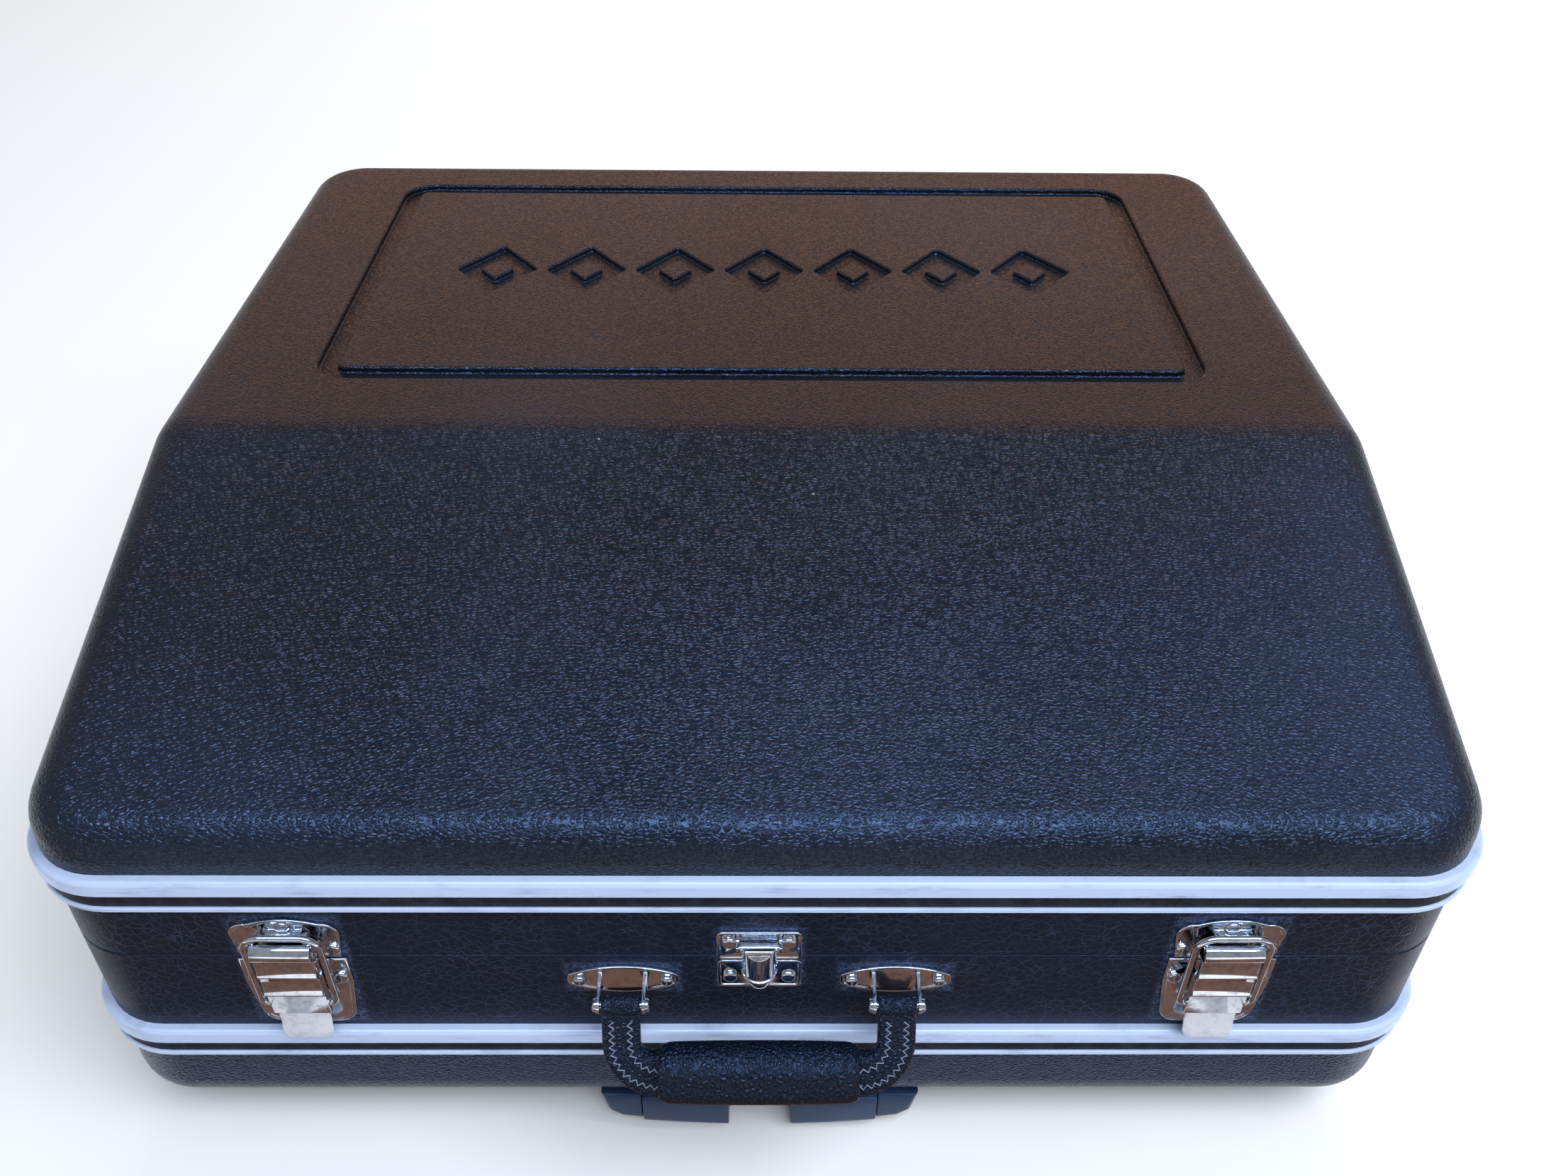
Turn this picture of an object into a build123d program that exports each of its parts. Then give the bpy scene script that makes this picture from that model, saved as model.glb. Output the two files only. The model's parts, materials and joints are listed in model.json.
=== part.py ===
from build123d import *
import os
from math import atan2, cos, radians, sin, tan

# A hard carrying case for a large piano accordion, in millimetres, +Z up. The handle side faces -Y.
# Heights are measured from the underside of the base shell and depths from the front face of the case.
# At the end everything moves so that the origin is the middle of the whole case's underside.

# Case
case_width = 600.0
case_depth = 552.0
corner_radius = 34.0  # upright corners, seen from above
base_trim_height = 56.0  # middle of the lower moulding
base_frame_rise = 59.8  # from there to the seam, where the lid parts from the base
lid_frame_rise = 42.1  # from the seam to the middle of the upper moulding
lid_front_rise = 30.1  # from there to where the sloping front of the lid would meet the front face
lid_top_rise = 58.4  # from there to the lid's flat top
ridge_set_back = 215.0
lid_edge_radius = 19.0
base_edge_radius = 20.0
ridge_radius = 40.0
shell_wall = 3.0
stand_off = 22.0  # floor to underside of the base shell

# Frames of plywood covered with leathercloth, and the mouldings that join them to the shells
frame_thickness = 7.0
cover_thickness = 1.0
seam_gap = 0.6
tongue_thickness = 1.5
tongue_rise = 8.0
tongue_clearance = 0.6
trim_height = 19.4
upper_lip_height = 8.6
lower_lip_height = 2.8
upper_lip_proud = 4.6
lower_lip_proud = 3.6
insert_proud = 2.6
trim_web = 1.2
trim_skin = 1.2

# Pressed panel and ornament on the lid
panel_side_margin = 68.0
panel_margin = 44.0  # from the rear face to the groove, and from the groove to the ridge
panel_outer_radius = 18.0
panel_inner_radius = 5.0
groove_width = 10.5
groove_depth = 3.6
ornament_count = 7
ornament_margin = 39.5  # from the groove to the row
ornament_gap = 6.0  # between two lozenges
ornament_height = 60.0
ornament_core = 0.42  # size of each lozenge's raised middle
ornament_rearward = 2.5  # the row's middle behind the panel's middle
ornament_depth = 3.0
lozenge_corner = 2.0
crest_radius = 1.5  # on the upper edges of the pressed groove and ornament
root_radius = 1.2  # on their lower edges

# Latches
latch_set_in = 102.0  # from the case's side to a latch's middle
latch_width = 46.0
catch_head_room = 7.3  # between a catch and the upper moulding
catch_arch = 5.0
latch_foot_room = 4.5  # between a latch plate and the lower moulding
plate_thickness = 1.5
plate_rim = 1.8
rim_depth = 0.5
rivet_radius = 3.2
rivet_rise = 1.4
rivet_room = 0.1
catch_rivet_drop = 4.4  # below the top of the catch's arch
catch_rivet_x = 18.6
catch_rivet_rise = 5.6  # above the seam
plate_rivet_x = 18.4
plate_rivet_drop = 13.5  # below the seam
lever_width = 25.0
lever_skin = 1.5
lever_pin_radius = 1.5
lever_knuckle_radius = 4.4
lever_pin_out = 7.2
lever_pin_drop = 12.7  # below the catch's shoulders
lever_foot_up = 14.4  # the lever's foot above the latch plate's foot
lever_play = 0.5  # between the lever's sides and the arms inside it
loop_rod = 1.4  # radius of the loop's wire
loop_width = 34.5
loop_rise = 8.8  # from the lever's pin to the loop's top bar
loop_pin_out = 6.2
loop_pin_up = 6.4  # above the lever's foot
hook_gap = 0.3  # between the loop's top bar and the catch's lip, up and down
hook_reach_gap = 0.7  # between them, in and out
hook_width = 16.0
hook_thickness = 1.2
loop_top_corner = 8.0
loop_foot_corner = 3.2
lever_arm_thickness = 1.3
lever_arm_tip = 3.0
tab_width = 22.0
tab_length = 15.5
tab_thickness = 1.2

# Centre lock
lock_width = 36.0
lock_reach = 18.5  # each plate's height from the split
lock_rim = 1.4
lock_split_drop = 1.6  # the lid's plate laps over the seam
lock_rivet_x = 12.5
lock_rivet_z = 11.5
tongue_top_radius = 7.9
tongue_end_radius = 6.9
tongue_plate_wall = 1.3
tongue_pin_radius = 1.0
tongue_pin_out = 3.7
tongue_pin_up = 11.6
tongue_drop = 20.0
boss_radius = 5.3

# Carrying handle
bracket_offset = 58.8
bracket_width = 48.0
bracket_height = 17.5
bracket_drop = 15.3  # from the seam to the middle of a bracket
bracket_screw_pitch = 37.5
bracket_rim = 1.5
ear_gap = 17.6
ear_thickness = 1.6
handle_pin_out = 13.6
handle_pin_radius = 1.8
handle_pin_drop = 0.9  # below the brackets' middle
strap_width = 16.4
strap_thickness = 7.5
strap_eye_radius = 4.4
grip_length = 86.0
grip_depth = 24.0
grip_thickness = 21.0
grip_drop = 33.0
handle_hang = 24.0  # degrees out from hanging straight down

# Rear hinges
hinge_count = 3
hinge_set_in = 110.0  # from the case's side to the middle of the outer hinges
hinge_width = 48.0
leaf_height = 24.0
leaf_thickness = 1.5
hinge_rivet_radius = 2.6
hinge_rivet_rise = 1.2
knuckle_radius = 3.4
knuckle_stand = 0.3  # between the knuckles and the rear face
hinge_pin_radius = 1.8
pin_clearance = 0.05
knuckle_gap = 0.4

# Pull handle and wheels
housing_shoulder = 20.0  # each side of the pull grip
housing_length = 92.0
housing_set_back = 1.5
pull_grip_width = 112.0
pull_grip_length = 25.0
pull_grip_rise = 5.0  # how far the grip and its housing lap up the base's rounded front edge
pull_grip_ground = 0.8  # above the floor
pull_grip_belly = 4.0  # how much deeper the grip is in its middle than at its ends
finger_gap = 30.0
finger_gap_depth = 14.0
pocket_clearance = 0.5
tube_inset = 15.0  # from the grip's end to a tube's middle
outer_tube_radius = 7.5
inner_tube_radius = 5.8
tube_wall = 1.2
tube_axis_drop = 10.0
tube_set_in = 45.5  # from the rear face to the outer tubes' ends
tube_gap = 12.0  # between the grip and the outer tubes
tube_socket = 15.5  # how far the inner tubes reach into the grip
inner_tube_short = 20.0  # how much shorter the inner tubes are
clamp_side = 15.0  # beyond the tubes' middles
clamp_ground = 1.2  # above the floor
housing_screw_side = 22.0  # beyond the tubes' middles
rear_clamp_length = 34.0
button_width = 18.0
button_height = 8.0
button_proud = 3.2
button_play = 0.3
wheel_set_in = 110.0  # from the case's side to a wheel's middle
wheel_radius = 23.0
wheel_width = 20.0
wheel_overhang = 3.0  # behind the rear face
tyre_round = 3.0
hub_radius = 14.0
hub_proud = 1.2  # beyond the tyre's sides
hub_rim = 2.5
axle_radius = 3.0
axle_boss_radius = 9.0
well_width = 36.0
well_wall = 3.0
well_clearance = 3.0
well_flange = 9.0
well_flange_thickness = 2.0

# Lining
lining_thickness = 8.0
lining_clearance = 0.3
pad_height = 26.0
pad_depth = 58.0
pad_side_room = 40.0
pad_rear_room = 60.0
pad_radius = 10.0

eps = 0.01
front_view = Plane(origin=(0, 0, 0), x_dir=(1, 0, 0), z_dir=(0, -1, 0))  # sketch x, height; outwards is +

# Heights and places that follow from the sizes above
seam_height = base_trim_height + base_frame_rise
lid_trim_height = seam_height + lid_frame_rise
lid_front_height = lid_trim_height + lid_front_rise
lid_height = lid_front_height + lid_top_rise
slope = atan2(lid_top_rise, ridge_set_back)
frame_depth = cover_thickness + frame_thickness
panel_width = case_width - 2 * panel_side_margin
panel_length = case_depth - ridge_set_back - 2 * panel_margin
panel_set_back = case_depth - panel_margin - panel_length / 2
ornament_pitch = (panel_width - 2 * groove_width - 2 * ornament_margin) / ornament_count
ornament_width = ornament_pitch - ornament_gap
latch_offset = case_width / 2 - latch_set_in
catch_height = lid_frame_rise - trim_height / 2 - catch_head_room - seam_gap
latch_plate_height = base_frame_rise - trim_height / 2 - latch_foot_room - seam_gap
lever_pin_up = catch_height - lever_pin_drop
lever_length = lever_pin_up + seam_gap + latch_plate_height - lever_foot_up
loop_drop = lever_length - loop_pin_up
loop_length = loop_drop + loop_rise
lock_split = seam_height - lock_split_drop
bracket_level = seam_height - bracket_drop
handle_pin_level = bracket_level - handle_pin_drop
plate_seat = plate_thickness - rim_depth
hinge_spacing = (case_width - 2 * hinge_set_in) / (hinge_count - 1)
housing_width = pull_grip_width + 2 * housing_shoulder
tube_offset = pull_grip_width / 2 - tube_inset
grip_near = housing_set_back - 2
grip_far = grip_near + pull_grip_length
tube_near = grip_far + tube_gap
outer_tube_length = case_depth - tube_set_in - tube_near
inner_tube_length = outer_tube_length - inner_tube_short
wheel_offset = case_width / 2 - wheel_set_in


def block(x, y, z):
    """A box between pairs of limits."""
    middle = Pos((x[0] + x[1]) / 2, (y[0] + y[1]) / 2, (z[0] + z[1]) / 2)
    return middle * Box(x[1] - x[0], y[1] - y[0], z[1] - z[0])


def side_plate(points, x, thickness):
    """A flat piece that starts at x, with its outline as (reach in front of the front face, height)."""
    plane = Plane(origin=(x + thickness, 0, 0), x_dir=(0, -1, 0), z_dir=(-1, 0, 0))
    return extrude(plane * make_face(Polyline(*points, close=True)), thickness)


def rod(radius, start, end):
    """A round bar from one point to another."""
    path = Vector(*end) - Vector(*start)
    return extrude(Plane(origin=start, z_dir=path) * Circle(radius), path.length)


def at_height(shape, level):
    """The edges that lie flat at one height."""
    level_edges = shape.edges().filter_by_position(Axis.Z, level - eps, level + eps)
    return [e for e in level_edges if e.bounding_box().size.Z < eps]


def slab(inset, low, high):
    """The case's plan, set in from its faces, between two heights."""
    plan = RectangleRounded(case_width - 2 * inset, case_depth - 2 * inset, corner_radius - inset)
    return Pos(0, case_depth / 2, low) * extrude(plan, high - low)


def ring(outer, inner, low, high, low_round=0.0, high_round=0.0):
    """A band that goes right round the case, between two insets, with its outer edges rounded."""
    body = slab(outer, low, high)
    if low_round:
        body = fillet(at_height(body, low), low_round)
    if high_round:
        body = fillet(at_height(body, high), high_round)
    return body - slab(inner, low - 1, high + 1)


def lid_block(inset, low):
    """The lid's outside, or the room inside it when it is set in by the wall."""
    top = lid_height - inset
    front = lid_front_height + inset * tan(slope) - inset / cos(slope)
    ridge = (top - lid_front_height + inset / cos(slope)) / tan(slope)
    rear = case_depth - inset
    profile = Polyline((inset, low), (inset, front), (ridge, top), (rear, top), (rear, low), close=True)
    side = Plane(origin=(-case_width / 2 - 1, 0, 0), x_dir=(0, 1, 0), z_dir=(1, 0, 0))
    body = extrude(side * make_face(profile), case_width + 2)
    crest = [e for e in at_height(body, top) if abs(e.center().Y - ridge) < eps]
    body = fillet(crest, ridge_radius) & slab(inset, low, lid_height)
    rim = [e for e in body.edges() if e.center().Z > front - eps and not is_inner_crease(e, inset)]
    return fillet(rim, lid_edge_radius - inset)


def is_inner_crease(edge, inset):
    """True for the two lines across the lid where its rounded ridge begins and ends."""
    return abs(edge.bounding_box().size.X - (case_width - 2 * inset)) < eps


def base_block(inset, high):
    """The base shell's outside, or the room inside it when it is set in by the wall."""
    body = slab(inset, inset, high)
    return fillet(at_height(body, inset), base_edge_radius - inset)


def panel_groove(grow, low, high):
    """The groove round the lid's panel, or the wall behind it when it is grown by the wall."""
    across, along = panel_width + 2 * grow, panel_length + 2 * grow
    inner = groove_width + 2 * grow
    rim = RectangleRounded(across, along, panel_outer_radius + grow)
    island = RectangleRounded(across - 2 * inner, along - 2 * inner, max(panel_inner_radius - grow, 1.0))
    return Pos(0, panel_set_back, low) * extrude(rim - island, high - low)


def ornament(grow, low, high, core=True):
    """A row of lozenges, each with a raised middle, or the wall behind them when it is grown by the wall."""
    spread = 1.3 * grow  # a lozenge's points stand further off than its sides
    outer = lozenge(ornament_width / 2 + spread, ornament_height / 2 + spread)
    if core:
        outer -= lozenge(ornament_core * ornament_width / 2, ornament_core * ornament_height / 2)
    piece = Pos(0, panel_set_back + ornament_rearward, low) * extrude(outer, high - low)
    start = -(ornament_count - 1) / 2 * ornament_pitch
    return [Pos(start + i * ornament_pitch, 0, 0) * piece for i in range(ornament_count)]


def lozenge(half_width, half_height):
    """A diamond with slightly rounded corners."""
    points = [(half_width, 0), (0, half_height), (-half_width, 0), (0, -half_height)]
    face = make_face(Polyline(*points, close=True))
    return fillet(face.vertices(), lozenge_rounding(half_width))


def lozenge_rounding(half_width):
    """The rounding of a lozenge's corners, less on a small one."""
    return min(lozenge_corner, half_width / 6)


def soften_relief(lid):
    """Rounds the edges of the pressed groove and ornament, as sheet drawn over a mould has them."""
    half_width, half_length = panel_width / 2 + eps, panel_length / 2 + eps
    core_corner = lozenge_rounding(ornament_core * ornament_width / 2)
    crest = min(crest_radius, 0.93 * core_corner)  # a rounding has to fit round the smallest corner
    levels = ((lid_height, crest), (lid_height - groove_depth, root_radius))
    for level, radius in (*levels, (lid_height - ornament_depth, root_radius)):
        edges = []
        for edge in at_height(lid, level):
            box = edge.bounding_box()
            across = max(abs(box.min.X), abs(box.max.X))
            along = max(abs(box.min.Y - panel_set_back), abs(box.max.Y - panel_set_back))
            if across < half_width and along < half_length:
                edges.append(edge)
        lid = fillet(edges, radius)
    return lid


def shells():
    """The two vacuum-formed shells."""
    nodes = {}
    edge = lid_trim_height + trim_web / 2
    room = lid_block(shell_wall, edge - 1)
    room -= panel_groove(shell_wall, lid_height - shell_wall - groove_depth, lid_height)
    for piece in ornament(shell_wall, lid_height - shell_wall - ornament_depth, lid_height, core=False):
        room -= piece
    lid = lid_block(0, edge) - panel_groove(0, lid_height - groove_depth, lid_height + 1)
    for piece in ornament(0, lid_height - ornament_depth, lid_height + 1):
        lid -= piece
    nodes["lid_shell"] = soften_relief(lid) - room
    edge = base_trim_height - trim_web / 2
    base = base_block(0, edge) - base_block(shell_wall, edge + 1)
    for side in (-1, 1):
        base -= well_space(side)
    nodes["base_shell"] = base
    return nodes


def moulding(middle, lid_side):
    """One H-section moulding with its dark insert, round a joint between a shell and a frame."""
    low, high = middle - trim_height / 2, middle + trim_height / 2
    web_low, web_high = middle - trim_web / 2, middle + trim_web / 2
    insert_low, insert_high = low + lower_lip_height, high - upper_lip_height
    body = ring(-trim_skin, 0, low, high)
    body += ring(-upper_lip_proud, 0, insert_high, high, 1.0, 2.2)
    body += ring(-lower_lip_proud, 0, low, insert_low, 1.0, 0.6)
    body += ring(-trim_skin, frame_depth + trim_skin, web_low, web_high)
    shell_span = (web_low, high - 2) if lid_side else (low + 2, web_high)
    frame_span = (low + 2, web_high) if lid_side else (web_low, high - 2)
    body += ring(shell_wall, shell_wall + trim_skin, *shell_span)
    body += ring(frame_depth, frame_depth + trim_skin, *frame_span)
    strip = ring(-insert_proud, -trim_skin, insert_low, insert_high, 0.5, 0.5)
    return body, strip


def frames():
    """The two covered frames between the mouldings, and the strip that lines them up when shut."""
    nodes = {}
    base_low = base_trim_height + trim_web / 2
    base_high = seam_height - seam_gap / 2
    lid_low = seam_height + seam_gap / 2
    lid_high = lid_trim_height - trim_web / 2
    nodes["lower_frame"] = ring(cover_thickness, frame_depth, base_low, base_high)
    nodes["lower_frame_cover"] = ring(0, cover_thickness, base_low, base_high, 0, 0.7)
    nodes["upper_frame"] = ring(cover_thickness, frame_depth, lid_low, lid_high)
    nodes["upper_frame_cover"] = ring(0, cover_thickness, lid_low, lid_high, 0.7, 0)
    strip_low = base_trim_height + trim_height / 2
    strip = ring(frame_depth, frame_depth + tongue_thickness, strip_low, seam_height)
    inner = frame_depth + tongue_clearance
    strip += ring(inner, frame_depth + tongue_thickness, seam_height - 1, seam_height + tongue_rise)
    nodes["alignment_strip"] = strip
    nodes["lower_trim"], nodes["lower_trim_insert"] = moulding(base_trim_height, False)
    nodes["upper_trim"], nodes["upper_trim_insert"] = moulding(lid_trim_height, True)
    return nodes


def linings():
    """The padded lining of each half, and the pads that the accordion rests on."""
    nodes = {}
    gap = shell_wall + lining_clearance
    inner = gap + lining_thickness
    base_top = base_trim_height - trim_height / 2
    base = base_block(gap, base_top) - base_block(inner, base_top + 1)
    for side in (-1, 1):
        base -= well_space(side, well_wall / 2 + lining_clearance)
    nodes["base_lining"] = base
    lid_low = lid_trim_height + trim_height / 2
    deep = shell_wall + max(groove_depth, ornament_depth) + lining_clearance
    outer = lid_block(gap, lid_low) & slab(0, lid_low, lid_height - deep)
    inside = lid_block(inner, lid_low - 1) & slab(0, lid_low - 1, lid_height - deep - lining_thickness)
    nodes["lid_lining"] = outer - inside
    half = case_width / 2 - inner - pad_side_room
    pads = []
    for middle in (inner + pad_depth, case_depth - inner - pad_depth - pad_rear_room):
        along = (middle - pad_depth / 2, middle + pad_depth / 2)
        pad = block((-half, half), along, (inner + lining_clearance, inner + pad_height))
        pads.append(fillet(pad.edges().filter_by(Axis.X).sort_by(Axis.Z)[-2:], pad_radius))
    nodes["support_pads"] = Compound(children=pads)
    return nodes


def plate(outline, centre_x, rim=plate_rim):
    """A pressed plate on the front face, with a raised rim. The outline is in front view, about x = 0."""
    place = front_view * Pos(centre_x, 0)
    body = extrude(place * outline, plate_thickness)
    inner = offset(outline, -rim)
    return body - Pos(0, -plate_seat, 0) * extrude(place * inner, plate_thickness)


def dome_rivet(x, z):
    """A domed rivet through a front plate into its frame."""
    head = rod(rivet_radius, (x, -plate_seat, z), (x, -plate_seat - rivet_rise, z))
    return fillet(head.edges().sort_by(Axis.Y)[0], rivet_rise * 0.8)


def seat_rivets(body, places):
    """Clears a plate's rim and lip where rivet heads sit."""
    top = -plate_seat - rivet_rise - rivet_room
    for x, z in places:
        body -= rod(rivet_radius + rivet_room, (x, -plate_seat, z), (x, top, z))
    return body


def catch_rivet_places(side):
    """Middles (x, z) of a catch's three rivets."""
    x = side * latch_offset
    low = seam_height + catch_rivet_rise
    crown = (x, seam_height + catch_height - catch_rivet_drop)
    return [(x - catch_rivet_x, low), (x + catch_rivet_x, low), crown]


def latch_rivet_places(side):
    """Middles (x, z) of a latch plate's two rivets."""
    z = seam_height - plate_rivet_drop
    return [(side * latch_offset + hand * plate_rivet_x, z) for hand in (-1, 1)]


def lock_rivet_places(hand_z):
    """Middles (x, z) of the two rivets of the lock's lid plate (1) or base plate (-1)."""
    return [(hand * lock_rivet_x, lock_split + hand_z * lock_rivet_z) for hand in (-1, 1)]


def catch_outline():
    """The arched plate on the lid side of a latch."""
    half = latch_width / 2
    low = seam_height + seam_gap
    side = low + catch_height - catch_arch
    edges = Line((-half + 2, low), (half - 2, low)) + Line((half - 2, low), (half, side - 4))
    edges += ThreePointArc((half, side - 4), (half - 2.5, side + 0.5), (half - 8, side + 2))
    edges += ThreePointArc((half - 8, side + 2), (0, side + catch_arch), (-half + 8, side + 2))
    edges += ThreePointArc((-half + 8, side + 2), (-half + 2.5, side + 0.5), (-half, side - 4))
    edges += Line((-half, side - 4), (-half + 2, low))
    return make_face(edges)


def latch_plate_outline():
    """The plate on the base side of a latch, narrower towards its rounded foot."""
    half = latch_width / 2
    high = seam_height - seam_gap
    low = high - latch_plate_height
    left = [(-half, high), (-half, high - 16), (-half + 3.4, low)]
    points = left + [(-x, z) for x, z in reversed(left)]
    face = make_face(Polyline(*points, close=True))
    feet = face.vertices().sort_by(Axis.Y)[:2]
    return fillet(feet, 9)


def lever_pin():
    return -lever_pin_out, seam_height + lever_pin_up


def latch(side):
    """One draw latch: catch, base plate with two arms, lever with thumb tab, and wire loop."""
    x = side * latch_offset
    name = "left" if side < 0 else "right"
    pin_y, pin_z = lever_pin()
    loop_z = seam_height + lever_pin_up - loop_drop
    nodes = {}
    lip_z = loop_z + loop_length - loop_rod - hook_gap
    lip_span = (x - hook_width / 2, x + hook_width / 2)
    lip_reach = (-lever_pin_out + loop_rod + hook_reach_gap, -plate_seat)
    lip = block(lip_span, lip_reach, (lip_z - hook_thickness, lip_z))
    nodes[name + "_latch_catch"] = seat_rivets(plate(catch_outline(), x) + lip, catch_rivet_places(side))
    base = seat_rivets(plate(latch_plate_outline(), x), latch_rivet_places(side))
    for hand in (-1, 1):
        base += lever_arm(x + hand * (lever_width / 2 - lever_skin - lever_play - lever_arm_thickness / 2))
    hole = rod(lever_pin_radius, (x - lever_width, pin_y, pin_z), (x + lever_width, pin_y, pin_z))
    nodes[name + "_latch_plate"] = base - hole
    nodes[name + "_latch_lever"] = lever(x)
    nodes[name + "_latch_tab"] = thumb_tab(x)
    nodes[name + "_latch_loop"] = wire_loop(x, loop_z)
    return nodes


def lever_arm(x):
    """An arm that stands on the latch plate and reaches up in front of the seam to carry the lever's pin."""
    pin_z = seam_height + lever_pin_up
    foot = seam_height - 15
    stem_out = lever_pin_out - 0.6
    back = lever_pin_out - lever_arm_tip  # stays inside the lever's rolled top as it turns
    clear = plate_thickness + 1.0
    points = [(plate_seat, foot), (stem_out, foot + 3), (stem_out, pin_z), (back, pin_z), (back, pin_z - 1.8)]
    points += [(clear, seam_height - 1.5), (plate_seat, seam_height - 2.5)]
    left, right = x - lever_arm_thickness / 2, x + lever_arm_thickness / 2
    arm = side_plate(points, left, lever_arm_thickness)
    return arm + rod(lever_arm_tip, (left, -lever_pin_out, pin_z), (right, -lever_pin_out, pin_z))


def lever(x):
    """The stepped lever: a pressed channel with three ribs, rolled at the top round its pin."""
    pin_y, pin_z = lever_pin()
    out = lever_pin_out
    foot = pin_z - lever_length
    upper_rib, lower_rib = pin_z - 0.32 * lever_length, pin_z - 0.62 * lever_length
    steps = [
        (out - 3.0, pin_z),
        (out + lever_knuckle_radius, pin_z),
        (out + 2.4, pin_z - 2.8),
        (out + 2.4, upper_rib + 2.6),
        (out + 3.6, upper_rib),
        (out + 1.8, upper_rib - 2.8),
        (out + 1.8, lower_rib + 2.6),
        (out + 3.2, lower_rib),
        (out + 1.2, lower_rib - 3.0),
        (out + 0.2, foot),
        (out - 1.6, foot),
        (out - 3.0, foot + 7),
    ]
    half = lever_width / 2
    body = side_plate(steps, x - half, lever_width)
    crests = [e for level in (upper_rib, lower_rib) for e in at_height(body, level)]
    body = fillet(crests, 1.1)
    body += rod(lever_knuckle_radius, (x - half, pin_y, pin_z), (x + half, pin_y, pin_z))
    room = half - lever_skin
    body -= block((x - room, x + room), (-(out + 0.4), 0), (foot + 4, pin_z - 2.0))
    body -= block((x - room, x + room), (-out, 0), (pin_z - 5, pin_z + 10))
    body -= rod(lever_knuckle_radius - 1.0, (x - room, pin_y, pin_z), (x + room, pin_y, pin_z))
    body -= rod(lever_pin_radius + pin_clearance, (x - half - 1, pin_y, pin_z), (x + half + 1, pin_y, pin_z))
    loop_z = pin_z - loop_drop
    loose = loop_rod + pin_clearance
    body -= rod(loose, (x - half - 1, -loop_pin_out, loop_z), (x + half + 1, -loop_pin_out, loop_z))
    return body


def thumb_tab(x):
    """The plated tab at the lever's foot, flared out over the moulding."""
    foot = seam_height + lever_pin_up - lever_length
    out = lever_pin_out - 1.6
    low = foot - tab_length
    points = [(out, foot), (out, foot - 6), (out + 2.6, low), (out + 2.6 + tab_thickness, low + 0.3)]
    points += [(out + tab_thickness, foot - 5.8), (out + tab_thickness, foot)]
    body = side_plate(points, x - tab_width / 2, tab_width)
    ends = body.edges().filter_by_position(Axis.Z, low - 1, low + 1)
    corners = [e for e in ends if e.length < 2 * tab_thickness]
    return fillet(corners, 4.5)


def wire_loop(x, low):
    """A loop of wire: a rounded rectangle that hooks over the catch and turns in the lever's foot."""
    tilt = lever_pin_out - loop_pin_out
    centre = (x, -loop_pin_out - tilt / 2, low + loop_length / 2)
    plane = Plane(origin=centre, x_dir=(1, 0, 0), z_dir=(0, -loop_length, -tilt))
    shape = Rectangle(loop_width - 2 * loop_rod, loop_length)
    shape = fillet(shape.vertices().group_by(Axis.Y)[-1], loop_top_corner)
    shape = fillet(shape.vertices().group_by(Axis.Y)[0], loop_foot_corner)
    path = (plane * shape).wire()
    start = Plane(origin=path @ 0, z_dir=path % 0)
    return sweep(start * Circle(loop_rod), path=path)


def lock():
    """The centre lock: two riveted plates, a hinged tongue on the lid and the boss it closes over."""
    nodes = {}
    spans = {"lock_lid_plate": (seam_gap / 2, lock_reach), "lock_base_plate": (-lock_reach, -seam_gap / 2)}
    for name, (low, high) in spans.items():
        outline = Pos(0, lock_split + (low + high) / 2) * RectangleRounded(lock_width, high - low, 2.5)
        nodes[name] = plate(outline, 0, lock_rim)
    pin_z = lock_split + tongue_pin_up
    inner = tongue_top_radius + 0.5
    outer = inner + 1.4
    for left, right in ((-outer, -inner), (inner, outer)):
        lug = block((left, right), (-tongue_pin_out - 1.6, -plate_seat), (pin_z - 1.6, pin_z + 1.6))
        nodes["lock_lid_plate"] += lug
    pin = rod(tongue_pin_radius, (-outer, -tongue_pin_out, pin_z), (outer, -tongue_pin_out, pin_z))
    nodes["lock_lid_plate"] = seat_rivets(nodes["lock_lid_plate"] - pin, lock_rivet_places(1))
    nodes["lock_tongue_pin"] = pin
    nodes["lock_tongue"] = lock_tongue(pin_z)
    foot = lock_split - lock_reach + boss_radius + 1.2
    boss = extrude(Pos(0, -plate_seat, foot) * Circle(boss_radius), lock_split - 3 - foot)
    boss += Pos(0, -plate_seat, foot) * Sphere(boss_radius)
    in_front = (-plate_seat - 2 * boss_radius, -plate_seat)
    boss &= block((-boss_radius, boss_radius), in_front, (foot - boss_radius, lock_split))
    nodes["lock_base_plate"] = seat_rivets(nodes["lock_base_plate"] + boss, lock_rivet_places(-1))
    return nodes


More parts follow.
